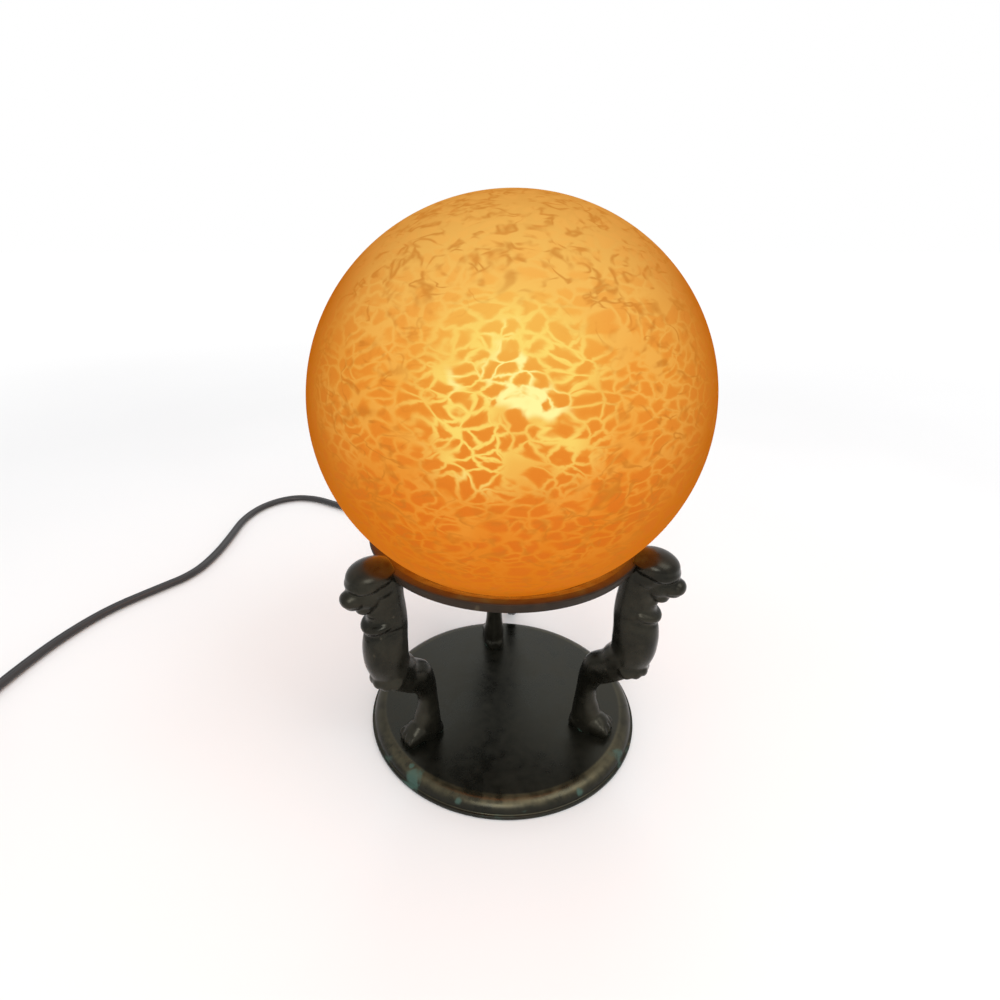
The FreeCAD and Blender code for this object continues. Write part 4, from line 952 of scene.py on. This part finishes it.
# ---- gallery --------------------------------------------------------------------------------
@dataclass
class Gallery:
    """The cast ring that holds the globe."""

    metal: bpy.types.Material
    radius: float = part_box("gallery_ring")[1].x / MM
    foot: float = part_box("gallery_ring")[0].z / MM
    top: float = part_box("gallery_ring")[1].z / MM
    bore: float = 48.4
    seat_height: float = 1.5
    foot_setback: float = 1.2
    foot_edge: float = 0.5
    lip_width: float = 2.6
    lip_edge: float = 0.7
    lip_chamfer: tuple = (0.4, 0.3)

    def build(self) -> list[bpy.types.Object]:
        """Make the ring."""
        toe = self.radius - self.foot_setback - self.foot_edge
        lip = self.radius - self.lip_edge
        inside = lip - self.lip_width
        cut_in, cut_down = self.lip_chamfer
        outline = ([(self.bore, self.foot), (toe, self.foot)]
                   + arc((toe, self.foot + self.foot_edge), self.foot_edge, -90, -10, 4)
                   + arc((lip, self.top - self.lip_edge), self.lip_edge, 0, 90, 6)
                   + [(inside, self.top), (inside - cut_in, self.top - cut_down),
                      (self.bore, self.foot + self.seat_height)])
        mesh = revolve("gallery_ring_cast", outline, ROUND_STEPS)
        piece = new_object("gallery_ring_cast", mesh)
        piece.data.materials.append(self.metal)
        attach(piece, LAMP)
        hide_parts("gallery_ring")
        return [piece]


# ---- globe ----------------------------------------------------------------------------------
@dataclass
class Globe:
    """The blown glass globe, a little flatter than a ball and open at its mouth."""

    glass: bpy.types.Material
    centre_z: float = GLOBE_CENTRE_Z
    radius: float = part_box("glass_globe")[1].x / MM
    top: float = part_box("glass_globe")[1].z / MM
    mouth_z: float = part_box("glass_globe")[0].z / MM
    wall: float = 2.6
    rows: int = 110

    def build(self) -> list[bpy.types.Object]:
        """Make the globe's shell."""
        tall = self.top - self.centre_z
        outer = self.half_outline(self.radius, tall)
        inner = self.half_outline(self.radius - self.wall, tall - self.wall)
        mesh = revolve("globe_shell", outer + inner[::-1], ROUND_STEPS)
        piece = new_object("globe_shell", mesh)
        piece.data.materials.append(self.glass)
        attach(piece, "globe")
        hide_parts("glass_globe")
        return [piece]

    def half_outline(self, wide: float, tall: float) -> list[tuple]:
        """The outline from crown to mouth of one of the shell's two faces."""
        last = math.acos((self.mouth_z - self.centre_z) / tall)
        return [(wide * math.sin(t), self.centre_z + tall * math.cos(t))
                for t in np.linspace(0, last, self.rows)]


# ---- figures --------------------------------------------------------------------------------
def ease_in(values: np.ndarray, start: float, reach: float) -> np.ndarray:
    """A share that grows from 0 at a start to 1 a reach further on."""
    return np.clip((values - start) / reach, 0, 1)


def notch(offset: np.ndarray, width: float) -> np.ndarray:
    """The rounded section of a crease, 1 in its middle."""
    return np.exp(-(offset / width) ** 2)


@dataclass
class Figure:
    """The sculpted beast-headed leg, drawn in its own plane with outward as +X.

    A mass is given as its centre, half sizes, lean and spin. The carving's fields are depths
    and places in millimetres.
    """

    metal: bpy.types.Material
    floor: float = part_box("base_disc")[1].z / MM
    ring_foot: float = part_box("gallery_ring")[0].z / MM
    ring_radius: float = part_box("gallery_ring")[1].x / MM
    voxel: float = 0.5
    smoothing: int = 9
    azimuths: tuple = (("leg_front_left", 214.0), ("leg_front_right", 334.0), ("leg_rear", 94.0))
    collar_axis: float = 58.6
    collar_reach: float = 8.0
    collar_half_width: float = 6.6
    collar_z: float = 75.8
    collar_rise: float = 3.4
    collar_end: int = 66
    collar_step: int = 11
    collar_thinning: float = 0.35
    fringe_axis: float = 57.6
    fringe_reach: float = 7.4
    fringe_half_width: float = 6.9
    fringe_z: float = 49.2
    fringe_turns: tuple = (-78, -47, -16, 16, 47, 78)
    toe_count: int = 4
    toe_pitch: float = 2.6
    toe_tip: float = 51.4
    carving_start: float = 54.0
    carving_reach: float = 4.0
    under_collar: tuple = (0.40, 3.0, 0.9)
    over_collar: tuple = (0.15, 3.2, 1.0)
    collar_bend: float = 8.0
    strand_depth: float = 0.14
    strands_per_turn: float = 12.0
    strand_axis: float = 56.0
    chest_z: float = 52.0
    chest_reach: float = 6.5
    toe_groove_start: float = 49.5
    toe_groove_top: float = 13.5
    toe_groove_reach: float = 3.0
    toe_groove_depth: float = 0.5
    toe_groove_width: float = 0.5
    muzzle_start: float = 69.0
    muzzle_reach: float = 2.5
    mouth_corner: tuple = (70.0, 89.4)
    mouth_fall: float = 0.12
    mouth_depth: float = 0.22
    mouth_width: float = 0.5
    ring_overlap: float = 2.0
    ring_clearance: float = 0.2
    ring_press: float = 0.12

    def trunk(self) -> list[tuple]:
        """Neck, chest, haunch, hock, shin and ankle."""
        return [
            (59.4, 98.5, 7.6, 7.4, 0), (58.6, 93.0, 7.8, 7.4, 0), (58.2, 87.0, 7.7, 7.0, 0),
            (57.8, 81.8, 7.9, 7.0, 0), (58.2, 77.0, 8.6, 7.4, 0), (58.6, 73.0, 9.0, 7.6, 0),
            (59.3, 68.0, 9.3, 8.3, 0), (59.5, 62.5, 9.4, 8.6, 0), (59.1, 56.6, 9.2, 8.4, 4),
            (56.6, 51.6, 9.2, 7.8, 16), (52.6, 46.6, 8.0, 6.9, 34), (46.4, 41.8, 7.9, 5.8, 42),
            (43.0, 36.4, 5.8, 4.7, 24), (41.5, 29.8, 4.6, 4.1, 3), (41.3, 23.0, 5.0, 4.4, -3),
            (42.0, 17.0, 6.3, 5.1, -5), (42.6, 11.4, 7.2, 5.4, -3), (42.7, 5.0, 7.8, 5.4, 0),
        ]

    def paw(self) -> list[tuple]:
        """The paw from heel to toes."""
        return [
            (35.0, 8.6, 2.4, 2.8, 90), (37.0, 9.2, 4.2, 4.4, 90), (42.0, 10.0, 6.0, 5.3, 90),
            (47.0, 10.2, 6.4, 5.5, 90), (50.8, 9.4, 5.2, 5.4, 90), (53.2, 8.6, 3.6, 4.6, 90),
            (54.4, 8.0, 1.8, 3.0, 90),
        ]

    def head(self) -> list[tuple]:
        """Brow cap, skull, cheeks, muzzle, nose, jaw and throat."""
        return [
            ((63.0, 0, 99.6), (10.0, 9.0, 5.4), 6, 0),
            ((65.8, 0, 97.6), (7.8, 8.6, 3.8), 9, 0),
            ((60.6, 0, 94.8), (8.4, 8.0, 6.4), 4, 0),
            ((64.6, 0, 91.0), (6.6, 6.2, 6.0), 18, 0),
            ((70.2, 0, 91.4), (5.6, 5.0, 4.7), 22, 0),
            ((72.9, 0, 91.2), (3.3, 4.4, 3.5), 26, 0),
            ((66.4, 0, 86.6), (4.4, 4.4, 3.0), 24, 0),
            ((62.6, 0, 83.0), (4.2, 5.0, 2.6), 10, 0),
        ]

    def collar(self) -> list[tuple]:
        """The rolled collar, which rises and thins towards its ends."""
        masses = []
        for turn in range(-self.collar_end, self.collar_end + 1, self.collar_step):
            a = math.radians(turn)
            rise = self.collar_rise * (1 - math.cos(a))
            thin = 1 - self.collar_thinning * (turn / self.collar_end) ** 2
            centre = (self.collar_axis + self.collar_reach * math.cos(a),
                      self.collar_half_width * math.sin(a), self.collar_z + rise)
            masses.append((centre, (2.3 * thin, 2.6, 2.0 * thin), 10, turn))
        return masses

    def fringe(self) -> list[tuple]:
        """The lobes at the tip of the chest."""
        masses = []
        for turn in self.fringe_turns:
            a = math.radians(turn)
            centre = (self.fringe_axis + self.fringe_reach * math.cos(a),
                      self.fringe_half_width * math.sin(a), self.fringe_z + 0.5 * math.cos(a))
            masses.append((centre, (1.9, 3.2, 3.4), -16, turn))
        return masses

    def toes(self) -> list[tuple]:
        """The toes side by side, the outer ones set back and spread."""
        masses = []
        for index in range(self.toe_count):
            side = self.toe_pitch / 2 * (2 * index - self.toe_count + 1)
            centre = (self.toe_tip - 0.05 * side ** 2, side, 9.4)
            masses.append((centre, (3.5, 1.5, 3.4), 18, 3 * side))
        return masses

    def sculpt(self) -> bpy.types.Mesh:
        """Fuse the masses into one skin, ease it, and carve the finer creases.

        Returns:
            The figure's mesh in its own plane, in metres.
        """
        vertices: list[np.ndarray] = []
        faces: list[list[int]] = []
        masses = self.head() + self.collar() + self.fringe() + self.toes()
        shapes = [limb_parts(self.trunk()), limb_parts(self.paw())]
        shapes += [ellipsoid_parts(*mass) for mass in masses]
        for points, rings in shapes:
            first = sum(len(v) for v in vertices)
            vertices.append(points)
            faces += [[first + corner for corner in ring] for ring in rings]
        rough = new_object("figure_rough", new_mesh("figure_rough", np.vstack(vertices), faces))
        skin = rough.modifiers.new("skin", "REMESH")
        skin.mode = "VOXEL"
        skin.voxel_size = self.voxel * MM
        ease = rough.modifiers.new("ease", "SMOOTH")
        ease.factor = 0.5
        ease.iterations = self.smoothing
        graph = bpy.context.evaluated_depsgraph_get()
        mesh = bpy.data.meshes.new_from_object(rough.evaluated_get(graph))
        bpy.data.objects.remove(rough)
        self.carve(mesh)
        return mesh

    def carve(self, mesh: bpy.types.Mesh) -> None:
        """Press the creases into the skin, and seat it on the base and against the ring."""
        count = len(mesh.vertices)
        flat = np.empty(count * 3)
        mesh.vertices.foreach_get("co", flat)
        co = flat.reshape(-1, 3) / MM
        flat = np.empty(count * 3)
        mesh.vertices.foreach_get("normal", flat)
        co -= flat.reshape(-1, 3) * self.creases(*co.T)[:, None]
        self.seat(co)
        mesh.vertices.foreach_set("co", (co * MM).ravel())
        mesh.update()

    def creases(self, x: np.ndarray, y: np.ndarray, z: np.ndarray) -> np.ndarray:
        """How deep the skin is pressed in at each of its points.

        Args:
            x: how far out each point lies, in millimetres.
            y: how far aside it lies.
            z: how high it lies.

        Returns:
            The depths in millimetres.
        """
        depth = np.zeros(len(x))
        front = ease_in(x, self.carving_start, self.carving_reach)
        # the crease under the collar's roll, and the one between the jaw and the roll
        bend = 1 - np.sqrt(np.clip(1 - (y / self.collar_bend) ** 2, 0, 1))
        roll = self.collar_z + self.collar_rise * bend
        deep, drop, width = self.under_collar
        depth += deep * front * notch(z - roll + drop, width)
        deep, rise, width = self.over_collar
        depth += deep * front * notch(z - roll - rise, width)
        # strands down the chest, fading above
        strands = np.cos(np.arctan2(y, x - self.strand_axis) * self.strands_per_turn)
        chest = notch(z - self.chest_z, self.chest_reach) * front
        depth += self.strand_depth * chest * (0.5 + 0.5 * strands)
        # the grooves between the toes
        toes = (ease_in(x, self.toe_groove_start, self.toe_groove_reach)
                * ease_in(-z, -self.toe_groove_top, self.toe_groove_reach))
        for index in range(1, self.toe_count):
            groove = self.toe_pitch * (index - self.toe_count / 2)
            depth += self.toe_groove_depth * toes * notch(y - groove, self.toe_groove_width)
        # the line of the mouth round the muzzle
        muzzle = ease_in(x, self.muzzle_start, self.muzzle_reach)
        corner_x, corner_z = self.mouth_corner
        mouth = corner_z - self.mouth_fall * (x - corner_x)
        return depth + self.mouth_depth * muzzle * notch(z - mouth, self.mouth_width)

    def seat(self, co: np.ndarray) -> None:
        """Flatten the points (in millimetres) on the base, and press the head to the ring."""
        x, _, z = co.T
        co[:, 2] = np.maximum(z, self.floor)
        wall = self.ring_radius - self.ring_overlap
        against = (z > self.ring_foot + self.ring_clearance) & (x < wall)
        co[against, 0] = wall - self.ring_press * (wall - x[against])

    def build(self) -> list[bpy.types.Object]:
        """Make the three legs, each turned to its place."""
        shape = self.sculpt()
        pieces = []
        for node, azimuth in self.azimuths:
            mesh = shape.copy()
            mesh.transform(Matrix.Rotation(math.radians(azimuth), 4, "Z"))
            piece = new_object(node + "_cast", mesh)
            piece.data.materials.append(self.metal)
            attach(piece, LAMP)
            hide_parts(node)
            pieces.append(piece)
        return pieces


# ---- lead -----------------------------------------------------------------------------------
# Route of the lead from the bulb holder's side outlet to the switch, in metres.
ROUTE = [
    (0.0037, 0.0209, 0.0901), (0.0048, 0.0272, 0.0901), (0.0057, 0.0321, 0.0945),
    (0.0064, 0.0363, 0.0902), (0.0070, 0.0398, 0.0865), (0.0082, 0.0468, 0.0794),
    (0.0090, 0.0510, 0.0709), (0.0090, 0.0521, 0.0600), (0.0082, 0.0520, 0.0470),
    (0.0070, 0.0520, 0.0330), (0.0070, 0.0552, 0.0205), (0.0080, 0.0640, 0.0106),
    (0.0092, 0.0755, 0.0052), (0.0096, 0.0885, 0.0028), (0.0070, 0.1060, 0.0028),
    (-0.0030, 0.1290, 0.0028), (-0.0220, 0.1520, 0.0028), (-0.0470, 0.1740, 0.0028),
    (-0.0760, 0.1950, 0.0028), (-0.1050, 0.2130, 0.0028), (-0.1300, 0.2275, 0.0028),
    (-0.1500, 0.2400, 0.0028), (-0.1705, 0.2420, 0.0028), (-0.1890, 0.2280, 0.0028),
    (-0.1985, 0.2030, 0.0028), (-0.1980, 0.1740, 0.0028), (-0.1985, 0.1460, 0.0028),
    (-0.2035, 0.1190, 0.0028), (-0.2210, 0.0995, 0.0028), (-0.2390, 0.0780, 0.0028),
    (-0.2510, 0.0500, 0.0028), (-0.2575, 0.0210, 0.0028), (-0.2605, -0.0080, 0.0034),
    (-0.2609, -0.0180, 0.0052), (-0.2613, -0.0320, 0.0068),
]


@dataclass
class Lead:
    """The flat twin lead with its put-away coil, as one spline and one tube, in metres."""

    sheath: bpy.types.Material
    width: float = 0.0055
    length: float = 1.826
    flatness: float = 0.80
    groove_depth: float = 0.20
    groove_reach: float = 0.22
    profile_steps: int = 14
    switch_centre: tuple = (-0.262, -0.060)
    switch_half: float = 0.028
    switch_z: float = 0.0068
    heading: float = math.radians(268.5)
    down: tuple = ((0.037, 0.0062), (0.049, 0.0028))
    approach: float = 0.030
    half_turns: int = 5
    inner_radius: float = 0.022
    pitch: float = 0.0068
    floor_z: float = 0.0028
    points_per_half: int = 10
    tail: float = 0.029
    tail_shares: tuple = (0.35, 0.7, 1.0, 1.12)
    level_enough: float = 0.35
    turn_rate: float = 0.3

    def along(self, distance: float, height: float) -> tuple[float, float, float]:
        """A point on the switch's own line."""
        return (self.switch_centre[0] + distance * math.cos(self.heading),
                self.switch_centre[1] + distance * math.sin(self.heading), height)

    def coil(self) -> list[tuple]:
        """The turns: in along the lower layer, up, and out along the upper one."""
        outer = self.inner_radius + self.pitch / 2 * self.half_turns
        start = Vector(self.along(self.switch_half + self.approach, 0))
        aside = Vector((-math.sin(self.heading), math.cos(self.heading), 0))
        centre = start - aside * outer
        first = math.atan2(start.y - centre.y, start.x - centre.x)
        points = []
        total = 2 * self.half_turns + 1
        for step in range(total * self.points_per_half + 1):
            turned = step / self.points_per_half
            climb = min(max(turned - self.half_turns, 0), 1)
            inward = min(turned, self.half_turns)
            outward = max(turned - self.half_turns - 1, 0)
            radius = outer - self.pitch / 2 * (inward - outward)
            angle = first - math.pi * turned
            points.append((centre.x + radius * math.cos(angle),
                           centre.y + radius * math.sin(angle),
                           self.floor_z + self.pitch * climb))
        last = Vector(points[-1])
        onward = Vector((-math.cos(self.heading), -math.sin(self.heading), 0))
        for share in self.tail_shares:
            points.append(tuple(last + onward * self.tail * share))
        return points

    def route(self) -> list[tuple]:
        """Every control point from the outlet to the plug."""
        stops = (-self.switch_half / 2, 0.0, self.switch_half / 2, self.switch_half)
        through = [self.along(distance, self.switch_z) for distance in stops]
        return ROUTE + through + [self.along(*place) for place in self.down] + self.coil()

    def spline_points(self) -> list[Vector]:
        """The smooth centre line, read from a NURBS curve through the route."""
        curve = bpy.data.curves.new("lead_line", "CURVE")
        curve.dimensions = "3D"
        curve.resolution_u = 8
        spline = curve.splines.new("NURBS")
        route = self.route()
        spline.points.add(len(route) - 1)
        for point, place in zip(spline.points, route):
            point.co = (*place, 1.0)
        spline.order_u = 3
        spline.use_endpoint_u = True
        holder = bpy.data.objects.new("lead_line", curve)
        bpy.context.scene.collection.objects.link(holder)
        graph = bpy.context.evaluated_depsgraph_get()
        line = bpy.data.meshes.new_from_object(holder.evaluated_get(graph))
        points = [v.co.copy() for v in line.vertices]
        bpy.data.objects.remove(holder)
        return points

    def profile(self) -> list[tuple[float, float]]:
        """The twin sheath across: two round cores with a groove above and below."""
        half = self.width / 2
        shape = []
        for step in range(self.profile_steps * 2):
            turn = math.pi * step / self.profile_steps
            groove = self.groove_depth * math.exp(-(math.cos(turn) / self.groove_reach) ** 2)
            shape.append((half * math.cos(turn),
                          self.flatness * half * math.sin(turn) * (1 - groove)))
        return shape

    def skin(self, points: list[Vector]) -> bpy.types.Mesh:
        """The sheath's skin along its line, lying flat wherever the line is level.

        Args:
            points: the centre line's points.

        Returns:
            The mesh.
        """
        profile = self.profile()
        vertices = []
        side = Vector((1, 0, 0))
        for index, point in enumerate(points):
            ahead = (points[min(index + 1, len(points) - 1)] - points[max(index - 1, 0)])
            ahead.normalize()
            level = Vector((ahead.y, -ahead.x, 0))
            wanted = level.normalized() if level.length > self.level_enough else side
            if index:
                side = side * (1 - self.turn_rate) + wanted * self.turn_rate
            else:
                side = wanted
            side = (side - ahead * side.dot(ahead)).normalized()
            up = side.cross(ahead)
            for across, rise in profile:
                vertices.append(tuple(point + side * across + up * rise))
        mesh = bpy.data.meshes.new("lead")
        mesh.from_pydata(vertices, [], tube_faces(len(points), len(profile)))
        mesh.update()
        return mesh

    def build(self) -> list[bpy.types.Object]:
        points = self.spline_points()
        piece = new_object("lead", self.skin(points))
        piece.data.materials.append(self.sheath)
        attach(piece, LAMP)
        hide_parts("inner_lead", "lead_run", "lead_link", "lead_coil")
        return [piece]


# ---- the frame's own pieces -----------------------------------------------------------------
class Finish(Enum):
    """The finishes that the frame's own pieces take."""

    STEEL = "steel_screw"
    PAN = "pan_brass"
    BRASS = "holder_brass"
    CERAMIC = "insulator"
    FIBRE = "liner"
    CONTACT = "contact_metal"
    BULB = "bulb_glass"
    BULB_METAL = "bulb_metal"
    BEAD = "bulb_bead"
    SOLDER = "solder"
    RUBBER = "rubber_black"
    SWITCH = "switch_case"
    WHEEL = "wheel_plastic"
    PLUG = "plug_case"
    BLADE = "blade_metal"


FRAME_FINISHES = {
    Finish.STEEL: PlainMetal("zinc_steel", rgba(0.46, 0.45, 0.43), rgba(0.30, 0.29, 0.27)),
    Finish.PAN: PlainMetal("dull_brass", rgba(0.16, 0.11, 0.05), rgba(0.09, 0.065, 0.035),
                           roughness=(0.35, 0.55)),
    Finish.BRASS: PlainMetal("satin_brass", rgba(0.62, 0.44, 0.17), rgba(0.42, 0.29, 0.11)),
    Finish.CERAMIC: Moulding("glazed_ceramic", rgba(0.72, 0.69, 0.62), rgba(0.58, 0.54, 0.46),
                             roughness=(0.15, 0.3)),
    Finish.FIBRE: Moulding("hard_fibre", rgba(0.10, 0.08, 0.06), rgba(0.06, 0.05, 0.04)),
    Finish.CONTACT: PlainMetal("bright_brass", rgba(0.75, 0.56, 0.25), rgba(0.55, 0.40, 0.17),
                               roughness=(0.15, 0.3)),
    Finish.BULB: BulbGlass("lit_bulb"),
    Finish.BULB_METAL: PlainMetal("bulb_aluminium", rgba(0.75, 0.75, 0.75),
                                  rgba(0.55, 0.55, 0.55), roughness=(0.18, 0.35)),
    Finish.BEAD: Moulding("dark_bead", rgba(0.02, 0.015, 0.025), rgba(0.04, 0.03, 0.04),
                          roughness=(0.08, 0.2)),
    Finish.SOLDER: PlainMetal("dull_solder", rgba(0.5, 0.5, 0.52), rgba(0.33, 0.33, 0.35)),
    Finish.RUBBER: Moulding("black_rubber", rgba(0.012, 0.012, 0.012),
                            rgba(0.03, 0.028, 0.026)),
    Finish.SWITCH: Moulding("dark_moulding", rgba(0.016, 0.014, 0.012),
                            rgba(0.03, 0.027, 0.024), roughness=(0.25, 0.4)),
    Finish.WHEEL: Moulding("wheel_moulding", rgba(0.025, 0.022, 0.02),
                           rgba(0.045, 0.04, 0.035), roughness=(0.3, 0.45)),
    Finish.PLUG: Moulding("plug_moulding", rgba(0.014, 0.013, 0.012),
                          rgba(0.03, 0.027, 0.025), roughness=(0.4, 0.6)),
    Finish.BLADE: PlainMetal("blade_brass", rgba(0.72, 0.57, 0.29), rgba(0.55, 0.42, 0.2),
                             roughness=(0.15, 0.3)),
}


def dress_frame(effects: Effects) -> None:
    """Give every piece of the frame that stays in view its finish.

    Args:
        effects: the shared node groups.
    """
    finishes = {finish.value: maker.build(effects) for finish, maker in FRAME_FINISHES.items()}
    slots = {row["node"]: row["material_slot"] for row in frame["record"]["subparts"]}
    for name, piece in frame["nodes"].items():
        if piece.hide_render:
            continue
        material = finishes[slots[name]]
        if not piece.data.materials:
            piece.data.materials.append(material)
        for slot in piece.material_slots:
            slot.material = material
        LOG.info("dressed %s in %s", name, material.name)


# ---- stage ----------------------------------------------------------------------------------
@dataclass
class Stage:
    """The pale floor, the studio light and the camera, in metres, watts and degrees."""

    floor_half: float = 4.0
    floor_tones: tuple = (rgba(0.84, 0.84, 0.83), rgba(0.87, 0.87, 0.86))
    floor_noise: tuple = (3.0, 2.0)
    floor_fade: tuple = (0.25, 1.4)
    world_light: Colour = rgba(0.80, 0.80, 0.82)
    world_seen: Colour = rgba(1.0, 1.0, 1.0)
    lights: tuple = (("key", (0.9, -0.5, 1.5), 0.9, 7.0), ("front", (-0.1, -1.35, 1.10), 0.7, 9.0),
                     ("back", (0.2, 1.4, 1.3), 1.2, 4.0))
    light_aim: tuple = (0, 0, 0.1)
    camera_place: tuple = (-0.01228, -0.2305, 0.2216)
    pitch: float = 64.9
    lens: float = 21.834
    sensor: float = 36.0
    shift: float = 0.023

    def build(self) -> None:
        """Make the floor, the world, the lights and the camera."""
        self.floor()
        self.world()
        for name, place, size, watts in self.lights:
            self.area(name, place, size, watts)
        self.camera()

    def floor(self) -> None:
        """The floor, a plain pale plane that fades to white for the camera."""
        half = self.floor_half / MM
        mesh = new_mesh("floor", np.array([(-half, -half, 0), (half, -half, 0), (half, half, 0),
                                           (-half, half, 0)]), [[0, 1, 2, 3]])
        floor = new_object("floor", mesh, smooth=False)
        material, tree, shader, where = start_material("pale_floor")
        tone = remap(tree, noise(tree, where, *self.floor_noise), *NOISE_RAMP)
        plain = blend(tree, tone, *self.floor_tones)
        seen = add_node(tree, "LightPath").outputs["Is Camera Ray"]
        far = product(tree, seen, remap(tree, length_of(tree, where), *self.floor_fade))
        feed(tree, shader, {
            "Base Color": blend(tree, far, plain, rgba(0.0, 0.0, 0.0)),
            "Roughness": 0.7,
            "Specular IOR Level": 0.1,
            "Emission Color": rgba(1.0, 1.0, 1.0),
            "Emission Strength": far})
        mesh.materials.append(material)

    def world(self) -> None:
        """A white background that lights the lamp softly."""
        world = bpy.data.worlds.new("studio")
        bpy.context.scene.world = world
        world.use_nodes = True
        tree = world.node_tree
        seen = add_node(tree, "LightPath").outputs["Is Camera Ray"]
        feed(tree, tree.nodes["Background"], {
            "Color": blend(tree, seen, self.world_light, self.world_seen), "Strength": 1.0})

    def area(self, name: str, place: Point, size: float, watts: float) -> None:
        """One soft area light that faces the lamp."""
        data = bpy.data.lights.new(name, "AREA")
        data.size = size
        data.energy = watts
        light = bpy.data.objects.new(name, data)
        light.location = place
        aim = Vector(self.light_aim) - Vector(place)
        light.rotation_euler = aim.to_track_quat("-Z", "Y").to_euler()
        bpy.context.scene.collection.objects.link(light)

    def camera(self) -> None:
        """The camera at the photograph's place."""
        data = bpy.data.cameras.new("camera")
        data.lens = self.lens
        data.sensor_width = self.sensor
        data.shift_x = self.shift
        data.clip_start = 0.01
        camera = bpy.data.objects.new("camera", data)
        camera.location = self.camera_place
        camera.rotation_euler = (math.radians(self.pitch), 0, 0)
        bpy.context.scene.collection.objects.link(camera)
        bpy.context.scene.camera = camera
        bpy.context.scene.view_settings.view_transform = "Standard"


def main() -> None:
    """Build the sub-assemblies in order and report each piece."""
    logging.basicConfig(level=logging.INFO, format="%(name)s: %(message)s")
    effects = Effects()
    assemblies = [
        Base(BASE_BRONZE.build(effects), FELT.build(effects)),
        Gallery(RING_BRONZE.build(effects)),
        Globe(GLOBE_GLASS.build(effects)),
        Figure(LEG_BRONZE.build(effects)),
        Lead(SHEATH.build(effects)),
    ]
    for assembly in assemblies:
        for piece in assembly.build():
            LOG.info("made %s with %d faces", piece.name, len(piece.data.polygons))
    dress_frame(effects)
    Stage().build()


if __name__ == "__main__":
    main()
